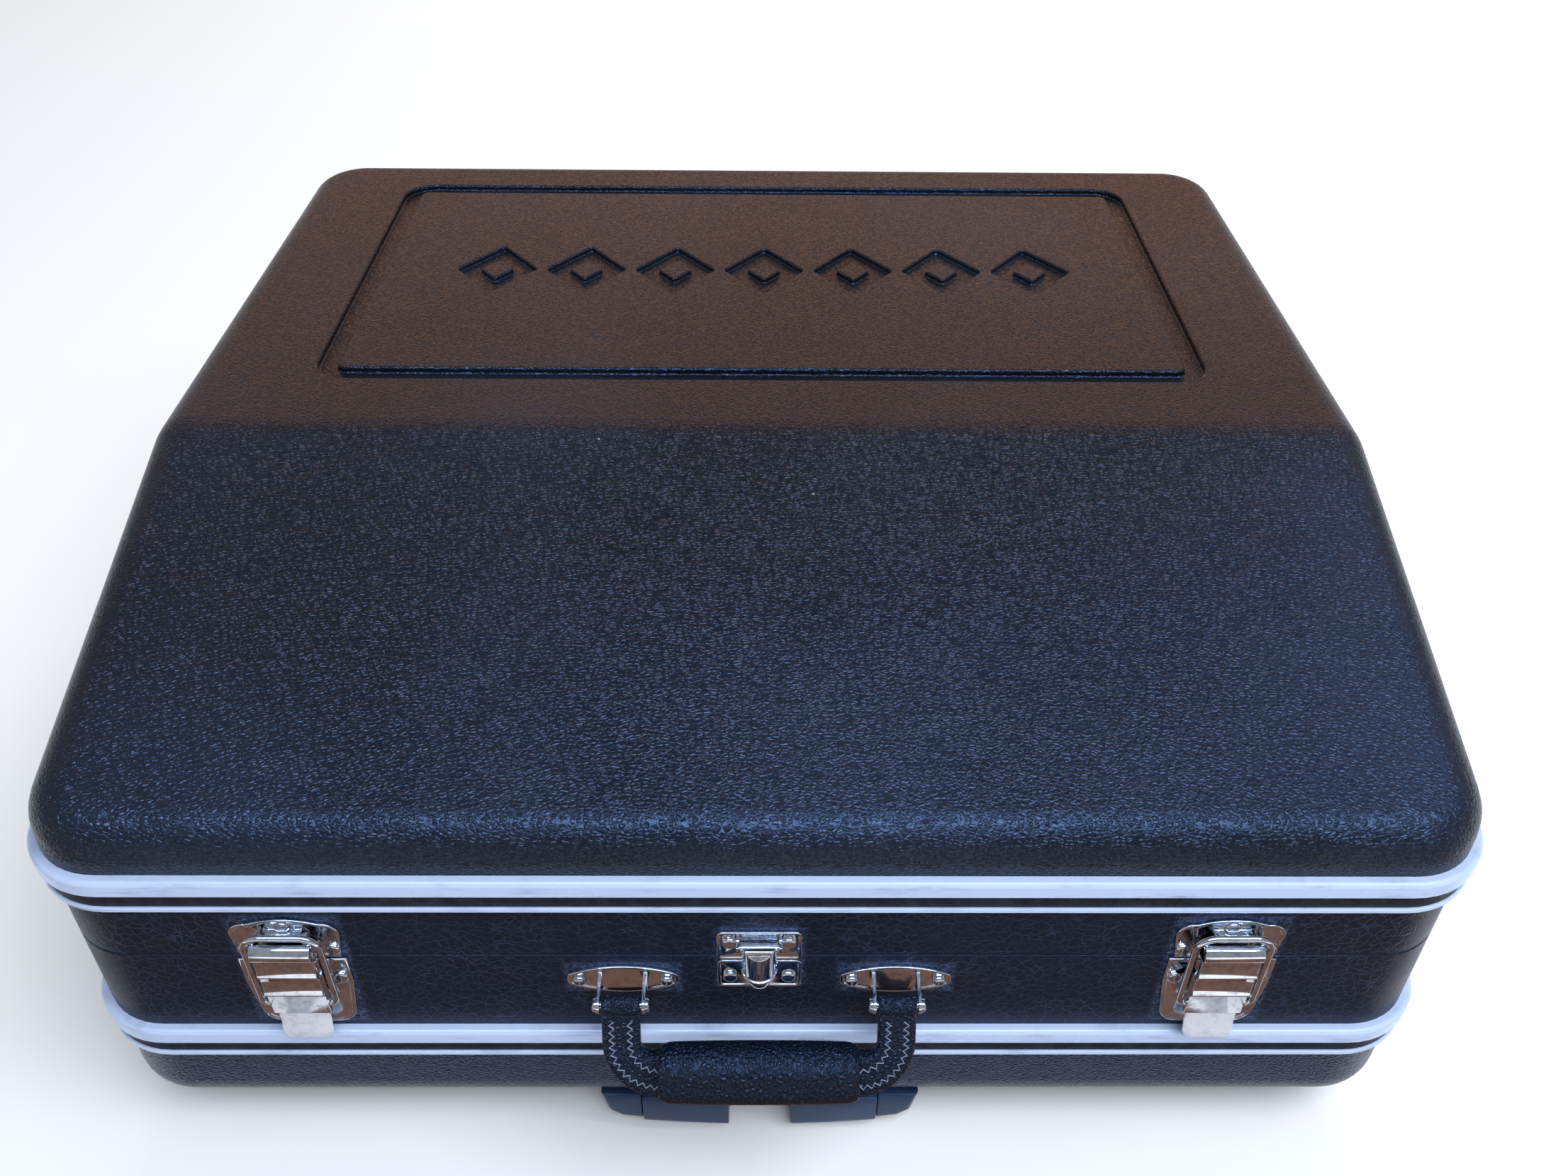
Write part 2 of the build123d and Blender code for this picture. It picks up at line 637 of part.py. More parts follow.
def lock_tongue(pin_z):
    """A tapered half-barrel, scooped at the top, that swings out and up from its pin."""
    top = pin_z + 1.5
    low = top - tongue_drop
    centre = -plate_thickness - 0.2
    outer = loft([
        Pos(0, centre, low) * Circle(tongue_end_radius),
        Pos(0, centre, top) * Circle(tongue_top_radius),
    ])
    wall = tongue_plate_wall
    room = loft([
        Pos(0, centre, low - 1) * Circle(tongue_end_radius - wall),
        Pos(0, centre, top - 8) * Circle(tongue_end_radius - wall),
    ])
    body = outer - room
    lip = extrude(Pos(0, centre, low) * Circle(tongue_end_radius + 0.8), 1.6)
    body += lip - extrude(Pos(0, centre, low - 1) * Circle(tongue_end_radius - wall), 4)
    body &= block((-20, 20), (-30, centre), (low - 1, top + 1))
    scoop = Pos(0, centre - tongue_top_radius - 7.5, top + 5.5) * Rot(0, 90, 0) * Cylinder(11.5, 40)
    body -= scoop
    reach = tongue_top_radius
    body -= block((-20, 20), (-tongue_pin_out, 0), (pin_z - 1.95, top + 2))
    body += rod(1.9, (-reach, -tongue_pin_out, pin_z), (reach, -tongue_pin_out, pin_z))
    loose = tongue_pin_radius + pin_clearance
    return body - rod(loose, (-reach - 1, -tongue_pin_out, pin_z), (reach + 1, -tongue_pin_out, pin_z))


def rivets():
    """Domed rivets of the latches and the lock, on the base and on the lid."""
    base = [*latch_rivet_places(-1), *latch_rivet_places(1), *lock_rivet_places(-1)]
    lid = [*catch_rivet_places(-1), *catch_rivet_places(1), *lock_rivet_places(1)]
    return {
        "base_rivets": Compound(children=[dome_rivet(*place) for place in base]),
        "lid_rivets": Compound(children=[dome_rivet(*place) for place in lid]),
    }


def latch_pins():
    """The pins on which the two levers turn."""
    pin_y, pin_z = lever_pin()
    half = lever_width / 2 - 0.1
    pins = []
    for x in (-latch_offset, latch_offset):
        pins.append(rod(lever_pin_radius, (x - half, pin_y, pin_z), (x + half, pin_y, pin_z)))
    return {"latch_pins": Compound(children=pins)}


def bracket_outline():
    """A lens-shaped plate with blunt, rounded ends."""
    half, rise, blunt = bracket_width / 2, bracket_height / 2, 3.2
    edges = ThreePointArc((-half, blunt), (0, rise), (half, blunt)) + Line((half, blunt), (half, -blunt))
    edges += ThreePointArc((half, -blunt), (0, -rise), (-half, -blunt))
    edges += Line((-half, -blunt), (-half, blunt))
    face = make_face(edges)
    return Pos(0, bracket_level) * fillet(face.vertices(), 2.6)


def handle_brackets():
    """Two screwed plates, each with a pair of ears that carry a handle pin."""
    nodes, screws, pins = {}, [], []
    for side, name in ((-1, "left"), (1, "right")):
        x = side * bracket_offset
        body = plate(bracket_outline(), x, bracket_rim)
        end = ear_gap / 2 + ear_thickness
        for left in (x - end, x + ear_gap / 2):
            body += bracket_ear(left)
        pin_y, pin_z = -handle_pin_out, handle_pin_level
        pin = rod(handle_pin_radius, (x - end, pin_y, pin_z), (x + end, pin_y, pin_z))
        body -= pin
        for hand in (-1, 1):
            face_x = x + hand * end
            head = rod(2.9, (face_x, pin_y, pin_z), (face_x + hand * 1.8, pin_y, pin_z))
            rim = head.edges().filter_by(GeomType.CIRCLE).sort_by(Axis.X)[-1 if hand > 0 else 0]
            pin += fillet(rim, 1.2)
            screws.append(pan_screw(x + hand * bracket_screw_pitch / 2, bracket_level - 0.5))
        pins.append(pin)
        nodes[name + "_handle_bracket"] = body
    nodes["handle_pins"] = Compound(children=pins)
    nodes["bracket_screws"] = Compound(children=screws)
    return nodes


def bracket_ear(left):
    """One ear of a handle bracket, with a round end about the handle's pin."""
    level, round_end = handle_pin_level, 3.4
    points = [(plate_seat, level - 4), (plate_seat, level + 5.5)]
    points += [(handle_pin_out, level + round_end), (handle_pin_out, level - round_end)]
    right = left + ear_thickness
    ear = side_plate(points, left, ear_thickness)
    return ear + rod(round_end, (left, -handle_pin_out, level), (right, -handle_pin_out, level))


def pan_screw(x, z):
    """A pan-head screw with a cross recess."""
    head_rise, slot = 2.2, (3.2, 0.8)
    head = rod(2.9, (x, -plate_seat, z), (x, -plate_seat - head_rise, z))
    head = fillet(head.edges().sort_by(Axis.Y)[0], 1.5)
    for across, tall in (slot, reversed(slot)):
        head -= Pos(x, -plate_seat - head_rise, z) * Box(across, head_rise, tall)
    return head


def handle():
    """The carrying handle: two sewn straps looped on the pins, and a padded grip between them."""
    nodes = {}
    inner, outer = bracket_offset - strap_width / 2, bracket_offset + strap_width / 2
    grip_low, grip_high = -grip_drop - grip_depth / 2, -grip_drop + grip_depth / 2
    half = grip_length / 2
    turn = Pos(0, -handle_pin_out, handle_pin_level) * Rot(-handle_hang, 0, 0)
    for side, name in ((-1, "left"), (1, "right")):
        edges = Line((inner, 0), (outer, 0)) + Line((outer, 0), (outer, -22))
        edges += ThreePointArc((outer, -22), (outer - 6.2, -38), (half, grip_low + 1.5))
        edges += Line((half, grip_low + 1.5), (half, grip_high - 3))
        edges += ThreePointArc((half, grip_high - 3), (inner - 1.8, grip_high + 1.6), (inner, grip_high + 8))
        edges += Line((inner, grip_high + 8), (inner, 0))
        face = make_face(edges)
        if side < 0:
            face = mirror(face, about=Plane.YZ)
        body = Pos(0, strap_thickness / 2, 0) * extrude(front_view * face, strap_thickness)
        x = side * bracket_offset
        body += rod(strap_eye_radius, (x - strap_width / 2, 0, 0), (x + strap_width / 2, 0, 0))
        body -= rod(handle_pin_radius + pin_clearance, (x - strap_width, 0, 0), (x + strap_width, 0, 0))
        nodes["handle_" + name + "_strap"] = turn * body
    grip = Pos(0, 0, -grip_drop) * Box(grip_length, grip_thickness, grip_depth)
    grip = fillet(grip.edges().filter_by(Axis.X), 8.5)
    nodes["handle_grip"] = turn * grip
    return nodes


def hinge_axis():
    return case_depth + knuckle_radius + knuckle_stand, seam_height


def rear_hinges():
    """Three butt hinges across the back, with their rivets."""
    axis_y, axis_z = hinge_axis()
    lower, upper, pins, lower_rivets, upper_rivets = [], [], [], [], []
    segment = hinge_width / 3
    for i in range(hinge_count):
        x = (i - (hinge_count - 1) / 2) * hinge_spacing
        left, right = x - hinge_width / 2, x + hinge_width / 2
        bore = rod(hinge_pin_radius, (left - 1, axis_y, axis_z), (right + 1, axis_y, axis_z))
        loose = rod(hinge_pin_radius + pin_clearance, (left - 1, axis_y, axis_z), (right + 1, axis_y, axis_z))
        middle = (x - segment / 2 + knuckle_gap, x + segment / 2 - knuckle_gap)
        ends = ((left, x - segment / 2), (x + segment / 2, right))
        wall = (case_depth, case_depth + leaf_thickness)
        low_leaf = block((left, right), wall, (axis_z - leaf_height, axis_z - knuckle_radius - 0.4))
        for a, b in ends:
            low_leaf += rod(knuckle_radius, (a, axis_y, axis_z), (b, axis_y, axis_z))
            low_leaf += block((a, b), wall, (axis_z - knuckle_radius - 0.5, axis_z - 1))
        lower.append(low_leaf - bore)
        up_leaf = block((left, right), wall, (axis_z + knuckle_radius + 0.4, axis_z + leaf_height))
        up_leaf += rod(knuckle_radius, (middle[0], axis_y, axis_z), (middle[1], axis_y, axis_z))
        up_leaf += block(middle, wall, (axis_z + 1, axis_z + knuckle_radius + 0.5))
        upper.append(up_leaf - loose)
        pins.append(bore)
        for hand in (-1, 1):
            for group, level in ((lower_rivets, -leaf_height * 0.62), (upper_rivets, leaf_height * 0.62)):
                rivet_x, seat = x + hand * hinge_width * 0.32, case_depth + leaf_thickness
                start = (rivet_x, seat, axis_z + level)
                head = rod(hinge_rivet_radius, start, (rivet_x, seat + hinge_rivet_rise, axis_z + level))
                group.append(fillet(head.edges().sort_by(Axis.Y)[-1], 0.75 * hinge_rivet_rise))
    nodes = {"hinge_lower_leaves": lower, "hinge_upper_leaves": upper, "hinge_pins": pins}
    nodes.update({"hinge_lower_rivets": lower_rivets, "hinge_upper_rivets": upper_rivets})
    return {name: Compound(children=parts) for name, parts in nodes.items()}


def wheel_centre(side):
    return side * wheel_offset, case_depth + wheel_overhang - wheel_radius, wheel_radius - stand_off


def well_space(side, grow=0.0):
    """The block that one wheel housing fills in the base shell."""
    x, y, z = wheel_centre(side)
    reach = wheel_radius + well_clearance + well_wall + grow
    half = well_width / 2 + grow
    return block((x - half, x + half), (y - reach, case_depth + 1), (-1, z + reach))


def pull_grip():
    """The pull handle's grip: a bar with a finger gap in its middle and a bellied, rounded lower edge."""
    half = pull_grip_width / 2
    low = -stand_off + pull_grip_ground
    end = low + pull_grip_belly
    edges = ThreePointArc((-half, end), (0, low), (half, end))
    edges += Polyline((half, end), (half, pull_grip_rise), (-half, pull_grip_rise), (-half, end))
    plane = Plane(origin=(0, grip_far, 0), x_dir=(1, 0, 0), z_dir=(0, -1, 0))
    body = extrude(plane * make_face(edges), pull_grip_length)
    front = body.edges().filter_by_position(Axis.Y, grip_near - eps, grip_near + eps)
    body = fillet([e for e in front if e.center().Z < end], 6)
    body -= base_block(-pocket_clearance, base_trim_height)
    gap = finger_gap / 2
    notch = block((-gap, gap), (grip_near - 1, grip_near + finger_gap_depth), (low - 1, pull_grip_rise + 1))
    notch = fillet(notch.edges().filter_by(Axis.Z).sort_by(Axis.Y)[-2:], 4)
    return body - notch


def along(radius, x, near, far):
    """A bar at the pull tubes' height, from front to back."""
    return rod(radius, (x, near, -tube_axis_drop), (x, far, -tube_axis_drop))


def pull_tubes(radius, near, length):
    """A pair of round tubes, as solid bars and as their bores."""
    places = (-tube_offset, tube_offset)
    bars = [along(radius, x, near, near + length) for x in places]
    bores = [along(radius - tube_wall, x, near - 1, near + length + 1) for x in places]
    return bars, bores


def trolley():
    """Pull handle, its tubes and housings, and the release button."""
    nodes = {}
    grip_end = grip_far - tube_socket
    inner, inner_bores = pull_tubes(inner_tube_radius, grip_end, inner_tube_length)
    outer, outer_bores = pull_tubes(outer_tube_radius, tube_near, outer_tube_length)
    grip = pull_grip()
    for tube in inner:
        grip -= tube
    web_y, half = grip_near + finger_gap_depth, button_width / 2
    low, high = -tube_axis_drop - button_height / 2, -tube_axis_drop + button_height / 2
    play = button_play
    hole = block((-half - play, half + play), (web_y - 1, web_y + 7), (low - play, high + play))
    nodes["pull_grip"] = grip - hole
    button = block((-half, half), (web_y - button_proud, web_y + 3.5), (low, high))
    nodes["release_button"] = fillet(button.edges().group_by(Axis.Y)[0], 1.2)
    nodes["pull_inner_tubes"] = Compound(children=[t - b for t, b in zip(inner, inner_bores)])
    nodes["pull_outer_tubes"] = Compound(children=[t - b for t, b in zip(outer, outer_bores)])
    end = housing_set_back + housing_length
    screws = []
    for x in (-tube_offset - housing_screw_side, 0, tube_offset + housing_screw_side):
        screws.append(floor_screw(x, end - 9))
    nodes["housing_screws"] = Compound(children=screws)
    housing = pull_housing(end, outer)
    for screw in screws:
        housing -= screw
    nodes["pull_housing"] = housing
    nodes["tube_clamp"] = tube_clamp(outer)
    return nodes


def tube_clamp(tubes):
    """The block that holds the rear ends of the outer tubes to the base."""
    far = tube_near + outer_tube_length
    half = tube_offset + clamp_side
    clamp = block((-half, half), (far - rear_clamp_length, far + 4), (-stand_off + clamp_ground, 0))
    clamp = fillet(clamp.edges().group_by(Axis.Z)[0], 4)
    for tube in tubes:
        clamp -= tube
    return clamp


def floor_screw(x, y):
    """A countersunk screw that holds the pull handle's housing to the base."""
    low = -stand_off + 1.5
    return rod(3.4, (x, y, low), (x, y, low + 3))


def pull_housing(end, tubes):
    """The moulded housing that holds the pull grip flush and carries the front ends of the tubes."""
    half, across = pull_grip_width / 2, housing_width / 2
    left = [(-across, pull_grip_rise), (-across + 3, -9), (-across + 9, -stand_off + 8)]
    left += [(-half, -stand_off + 6), (-half + 8, -stand_off)]
    right = [(-x, z) for x, z in reversed(left)]
    plane = Plane(origin=(0, end, 0), x_dir=(1, 0, 0), z_dir=(0, -1, 0))
    body = extrude(plane * make_face(Polyline(*left, *right, close=True)), end - housing_set_back)
    flank = [e for e in body.edges().filter_by(Axis.Y) if -stand_off + 7 < e.center().Z < pull_grip_rise - 1]
    body = fillet(flank, 4)
    front = body.edges().filter_by_position(Axis.Y, housing_set_back - eps, housing_set_back + eps)
    body = fillet([e for e in front if e.center().Z < pull_grip_rise - 1], 3)
    body -= base_block(0, base_trim_height)
    room = half + pocket_clearance
    rear = grip_far + pocket_clearance
    body -= block((-room, room), (grip_near - 10, rear), (-stand_off - 1, pull_grip_rise + 1))
    for tube in tubes:
        body -= tube
    for x in (-tube_offset, tube_offset):
        body -= along(inner_tube_radius + pocket_clearance, x, rear - 1, end)
    return body


def wheel_housing(side):
    """The moulded well of one wheel, with a flange under the base and bosses for the axle."""
    x, y, z = wheel_centre(side)
    half = well_width / 2
    inner_half = half - well_wall
    reach = wheel_radius + well_clearance
    body = well_space(side) & base_block(0, base_trim_height)
    body += rod(axle_boss_radius, (x - half, y, z), (x + half, y, z))
    along_floor = (y - reach - well_flange - 5, case_depth - base_edge_radius)
    flange = block((x - half - well_flange, x + half + well_flange), along_floor, (-well_flange_thickness, 0))
    body += fillet(flange.edges().filter_by(Axis.Z).sort_by(Axis.Y)[:2], 6)
    return body - block((x - inner_half, x + inner_half), (y - reach, case_depth + 5), (-30, z + reach))


def wheel_tyre(x, y, z):
    """The rubber tyre, with rounded shoulders."""
    wide = wheel_width / 2
    tyre = rod(wheel_radius, (x - wide, y, z), (x + wide, y, z))
    tyre = fillet(tyre.edges().filter_by(GeomType.CIRCLE), tyre_round)
    return tyre - rod(hub_radius, (x - wide - 1, y, z), (x + wide + 1, y, z))


def wheel_hub(x, y, z):
    """The moulded hub: a rim and a boss, with a web between them."""
    wide = wheel_width / 2
    side_x = wide + hub_proud
    hub = rod(hub_radius, (x - side_x, y, z), (x + side_x, y, z))
    for hand in (-1, 1):
        hub -= rod(hub_radius - hub_rim, (x + hand * (wide - 2.5), y, z), (x + hand * (wide + 3), y, z))
        hub += rod(axle_radius + 2.5, (x + hand * (wide - 3), y, z), (x + hand * side_x, y, z))
    return hub - rod(axle_radius + pin_clearance, (x - wide - 2, y, z), (x + wide + 2, y, z))


def wheels():
    """Two wheels in moulded housings let into the rear edge of the base."""
    nodes, axles, screws = {}, [], []
    for side, name in ((-1, "left"), (1, "right")):
        x, y, z = wheel_centre(side)
        half = well_width / 2
        axle = rod(axle_radius, (x - half, y, z), (x + half, y, z))
        axles.append(axle)
        nodes[name + "_wheel_housing"] = wheel_housing(side) - axle
        nodes[name + "_wheel_tyre"] = wheel_tyre(x, y, z)
        nodes[name + "_wheel_hub"] = wheel_hub(x, y, z)
        screw_y = y - wheel_radius - well_clearance - 7
        for screw_x in (x - half - well_flange / 2, x + half + well_flange / 2):
            seat = (screw_x, screw_y, -well_flange_thickness)
            head = rod(2.8, seat, (screw_x, screw_y, -well_flange_thickness - 1.2))
            screws.append(fillet(head.edges().sort_by(Axis.Z)[0], 0.8))
    nodes["wheel_axles"] = Compound(children=axles)
    nodes["wheel_housing_screws"] = Compound(children=screws)
    return nodes


def build():
    """Every node of the case, still measured from the front face and the base's underside."""
    nodes = {}
    for group in (shells(), frames(), linings(), latch(-1), latch(1), latch_pins(), lock(), rivets()):
        nodes.update(group)
    for group in (handle_brackets(), handle(), rear_hinges(), trolley(), wheels()):
        nodes.update(group)
    return nodes


def origin_of(nodes):
    """The middle of the whole case's underside."""
    boxes = [shape.bounding_box() for shape in nodes.values()]
    low_y = min(b.min.Y for b in boxes)
    high_y = max(b.max.Y for b in boxes)
    return Vector(0, (low_y + high_y) / 2, min(b.min.Z for b in boxes))


parts = build()
origin = origin_of(parts)
os.makedirs("parts", exist_ok=True)
for name, shape in parts.items():
    export_step(Location(-origin) * shape, os.path.join("parts", name + ".step"))
print("nodes", len(parts), "origin", origin)
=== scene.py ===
import json
import math

import bmesh
import bpy
from mathutils import Matrix, Vector


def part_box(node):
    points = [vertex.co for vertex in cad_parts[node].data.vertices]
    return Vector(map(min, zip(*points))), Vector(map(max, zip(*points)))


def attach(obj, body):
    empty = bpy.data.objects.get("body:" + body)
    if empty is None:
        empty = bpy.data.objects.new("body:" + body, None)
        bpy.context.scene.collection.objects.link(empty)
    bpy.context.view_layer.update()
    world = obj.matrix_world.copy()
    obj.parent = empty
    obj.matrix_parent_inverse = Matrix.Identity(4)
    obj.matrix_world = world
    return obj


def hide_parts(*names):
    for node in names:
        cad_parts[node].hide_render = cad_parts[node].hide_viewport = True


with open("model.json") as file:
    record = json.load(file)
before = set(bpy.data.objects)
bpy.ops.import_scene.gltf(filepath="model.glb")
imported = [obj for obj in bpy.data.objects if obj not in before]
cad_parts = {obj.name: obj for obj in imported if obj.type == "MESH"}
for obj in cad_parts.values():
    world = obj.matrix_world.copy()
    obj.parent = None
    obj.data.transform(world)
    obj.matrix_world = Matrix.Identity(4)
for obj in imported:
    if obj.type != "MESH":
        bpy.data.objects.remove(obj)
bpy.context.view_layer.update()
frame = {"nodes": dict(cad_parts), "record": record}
nodes = frame["nodes"]
mm = 0.001
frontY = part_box("lower_frame_cover")[0].y  # the face that carries the handle
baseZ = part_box("base_shell")[0].z  # underside of the base shell
print("frame loaded, front face at", round(frontY, 4))


def hexColour(code):
    # sRGB hex to the linear colour that the shaders want
    channels = [int(code[i : i + 2], 16) / 255 for i in (1, 3, 5)]
    linear = [c / 12.92 if c <= 0.04045 else ((c + 0.055) / 1.055) ** 2.4 for c in channels]
    return (*linear, 1.0)


def addNode(tree, kind, inputs, out=0, **settings):
    # one node with its settings and links, giving the output that is asked for
    node = tree.nodes.new("ShaderNode" + kind)
    for name, value in settings.items():
        setattr(node, name, value)
    for name, value in inputs.items():
        if isinstance(value, bpy.types.NodeSocket):
            tree.links.new(value, node.inputs[name])
        else:
            node.inputs[name].default_value = value
    return node.outputs[out] if node.outputs else None


softStep = {"interpolation_type": "SMOOTHSTEP"}  # a range with eased ends
colourMix = {"data_type": "RGBA", "out": 2}  # blends sockets 6 and 7


def perMetre(sizeMm):
    # scale of a texture whose cells measure sizeMm
    return 1000 / sizeMm


def startMaterial(name):
    material = bpy.data.materials.new(name)
    material.use_nodes = True
    material.node_tree.nodes.clear()
    return material, material.node_tree, addNode(material.node_tree, "TexCoord", {}, out="Object")


def closeMaterial(material, inputs):
    shader = addNode(material.node_tree, "BsdfPrincipled", inputs)
    addNode(material.node_tree, "OutputMaterial", {"Surface": shader})
    return material


def makePaper(name, inputs):
    # matt studio paper, one colour all over
    return closeMaterial(startMaterial(name)[0], inputs)


def warped(tree, place, sizeMm, shiftMm):
    # moves a pattern about by soft noise, so that it has no straight runs
    soft = addNode(tree, "TexNoise", {"Vector": place, "Scale": perMetre(sizeMm), "Detail": 1.0}, out="Color")
    centred = addNode(tree, "VectorMath", {0: soft, 1: (0.5, 0.5, 0.5)}, operation="SUBTRACT")
    shift = addNode(tree, "VectorMath", {0: centred, "Scale": shiftMm * mm}, operation="SCALE")
    return addNode(tree, "VectorMath", {0: place, 1: shift}, operation="ADD")


def pebbles(tree, place, sizeMm, crease=0.3):
    # rounded cells with creases between them
    inputs = {"Vector": place, "Scale": perMetre(sizeMm)}
    edge = addNode(tree, "TexVoronoi", inputs, feature="DISTANCE_TO_EDGE")
    return addNode(tree, "MapRange", {0: edge, 1: 0.0, 2: crease}, **softStep)


def specks(tree, place, spacingMm, sizeMm, rarity):
    # a few specks of dust, only in the cells whose random colour passes the rarity
    distance = addNode(tree, "TexVoronoi", {"Vector": place, "Scale": perMetre(spacingMm)})
    share = sizeMm / spacingMm
    inputs = {0: distance, 1: 0.5 * share, 2: 0.8 * share, 3: 1.0, 4: 0.0}
    near = addNode(tree, "MapRange", inputs, **softStep)
    chance = addNode(tree, "SeparateColor", {0: distance.node.outputs["Color"]})
    chosen = addNode(tree, "Math", {0: chance, 1: rarity}, operation="GREATER_THAN")
    return addNode(tree, "Math", {0: near, 1: chosen}, operation="MULTIPLY")


shellLook = {
    "colour": "#07090e",
    "haze": "#121722",
    "skylit": "#12203a",  # the low sides, where the cool light from in front gathers
    "dust": "#9aa1ad",
    "cellMm": 1.6,  # hair-cell grain of the drawn sheet
    "riseMm": 0.2,
    "skylitBelow": (60 * mm, 100 * mm),
    "polished": 0.27,
    "worn": 0.32,
}


def makeShellPlastic(look):
    # vacuum-formed ABS with a hair-cell grain: near black, with a broken satin gloss
    material, tree, place = startMaterial("vacuumFormedAbs")
    wide = addNode(tree, "Mapping", {"Vector": place, "Scale": (0.6, 1.0, 1.0)})
    grain = pebbles(tree, warped(tree, wide, 3.0, 1.3), look["cellMm"], 0.34)
    fine = addNode(tree, "TexNoise", {"Vector": place, "Scale": perMetre(0.7), "Detail": 2.0})
    fine = addNode(tree, "Math", {0: fine, 1: 0.5}, operation="MULTIPLY")
    height = addNode(tree, "Math", {0: grain, 1: fine}, operation="ADD")
    cloud = addNode(tree, "TexNoise", {"Vector": place, "Scale": perMetre(160), "Detail": 2.0})
    cloud = addNode(tree, "MapRange", {0: cloud, 1: 0.35, 2: 0.75}, **softStep)
    mix = {0: cloud, 6: hexColour(look["colour"]), 7: hexColour(look["haze"])}
    base = addNode(tree, "Mix", mix, **colourMix)
    above = addNode(tree, "SeparateXYZ", {0: place}, out=2)
    start, end = look["skylitBelow"]
    low = addNode(tree, "MapRange", {0: above, 1: start, 2: end, 3: 1.0, 4: 0.0}, **softStep)
    base = addNode(tree, "Mix", {0: low, 6: base, 7: hexColour(look["skylit"])}, **colourMix)
    dust = specks(tree, place, 26, 0.9, 0.93)
    gloss = addNode(tree, "TexNoise", {"Vector": place, "Scale": perMetre(90), "Detail": 3.0})
    gloss = addNode(tree, "MapRange", {0: gloss, 1: 0.3, 2: 0.7, 3: look["polished"], 4: look["worn"]})
    return closeMaterial(material, {
        "Base Color": addNode(tree, "Mix", {0: dust, 6: base, 7: hexColour(look["dust"])}, **colourMix),
        "Roughness": gloss,
        "Normal": addNode(tree, "Bump", {"Height": height, "Distance": look["riseMm"] * mm, "Strength": 1.0}),
        "IOR": 1.53,
        "Specular Tint": hexColour("#c4d8f6"),
    })


clothLook = {
    # the navy in this near-black cloth colour is painted cool light from in front
    "colour": "#07101f",
    # painted highlight: a paler blue laid along the creases, where they catch the light
    "crease": "#2a3a58",
    # worn and dusty, in a pale blue that is painted sheen
    "scuff": "#53678a",
    "creaseMm": 4.2,
    "riseMm": 0.16,
    "scuffReachMm": 2.6,  # how far the worn marks and their painted sheen spread round the fittings
    "scuffDepthMm": 5,  # behind the front face
    "fittings": (
        "left_latch_catch", "left_latch_plate", "right_latch_catch", "right_latch_plate",
        "lock_lid_plate", "lock_base_plate", "left_handle_bracket", "right_handle_bracket",
    ),
}


def scuffAndSheenMask(tree, place, look):
    # worn, dusty ground close round each fitting on the front, with a painted pale blue sheen
    split = addNode(tree, "SeparateXYZ", {0: place}).node.outputs
    total = None
    for node in look["fittings"]:
        low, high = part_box(node)
        away = []
        for axis in (0, 2):
            middle, half = (low[axis] + high[axis]) / 2, (high[axis] - low[axis]) / 2
            offset = addNode(tree, "Math", {0: split[axis], 1: middle}, operation="SUBTRACT")
            offset = addNode(tree, "Math", {0: offset}, operation="ABSOLUTE")
            away.append(addNode(tree, "Math", {0: offset, 1: half}, operation="SUBTRACT"))
        nearest = addNode(tree, "Math", {0: away[0], 1: away[1]}, operation="MAXIMUM")
        inputs = {0: nearest, 1: 0.0, 2: look["scuffReachMm"] * mm, 3: 1.0, 4: 0.0}
        mask = addNode(tree, "MapRange", inputs, **softStep)
        if total is not None:
            mask = addNode(tree, "Math", {0: total, 1: mask}, operation="MAXIMUM")
        total = mask
    limit = frontY + look["scuffDepthMm"] * mm
    onFront = addNode(tree, "Math", {0: split[1], 1: limit}, operation="LESS_THAN")
    return addNode(tree, "Math", {0: total, 1: onFront}, operation="MULTIPLY")


def makeLeathercloth(look):
    # PVC-coated cloth glued over plywood: fine creases with a painted highlight, a dull sheen, worn patches
    # with a painted sheen, and a navy tint of painted cool light
    material, tree, place = startMaterial("leathercloth")
    creased = pebbles(tree, warped(tree, place, 5.0, 3.0), look["creaseMm"], 0.06)
    small = pebbles(tree, warped(tree, place, 1.6, 0.9), 1.5, 0.25)
    small = addNode(tree, "Math", {0: small, 1: 0.35}, operation="MULTIPLY")
    height = addNode(tree, "Math", {0: creased, 1: small}, operation="ADD")
    creaseHighlightPatches = addNode(tree, "TexNoise", {"Vector": place, "Scale": perMetre(12), "Detail": 2.0})
    creaseHighlightPatches = addNode(tree, "MapRange", {0: creaseHighlightPatches, 1: 0.35, 2: 0.75, 3: 0.1, 4: 0.55}, **softStep)
    # painted highlight along the creases, stronger in some places than in others
    lines = addNode(tree, "Math", {0: 1.0, 1: creased}, operation="SUBTRACT")
    lines = addNode(tree, "Math", {0: lines, 1: creaseHighlightPatches}, operation="MULTIPLY")
    mix = {0: lines, 6: hexColour(look["colour"]), 7: hexColour(look["crease"])}
    base = addNode(tree, "Mix", mix, **colourMix)
    inputs = {"Vector": place, "Scale": perMetre(1.1), "Detail": 5.0, "Roughness": 0.75}
    grimeAndSheen = addNode(tree, "MapRange", {0: addNode(tree, "TexNoise", inputs), 1: 0.42, 2: 0.78}, **softStep)
    rubbedAndSheen = addNode(tree, "Math", {0: scuffAndSheenMask(tree, place, look), 1: grimeAndSheen}, operation="MULTIPLY")
    gloss = addNode(tree, "TexNoise", {"Vector": place, "Scale": perMetre(40), "Detail": 3.0})
    return closeMaterial(material, {
        "Base Color": addNode(tree, "Mix", {0: rubbedAndSheen, 6: base, 7: hexColour(look["scuff"])}, **colourMix),
        "Roughness": addNode(tree, "MapRange", {0: gloss, 1: 0.3, 2: 0.7, 3: 0.34, 4: 0.48}),
        "Normal": addNode(tree, "Bump", {"Height": height, "Distance": look["riseMm"] * mm, "Strength": 0.7}),
        "IOR": 1.5,
        "Specular Tint": hexColour("#b4cdf2"),
    })


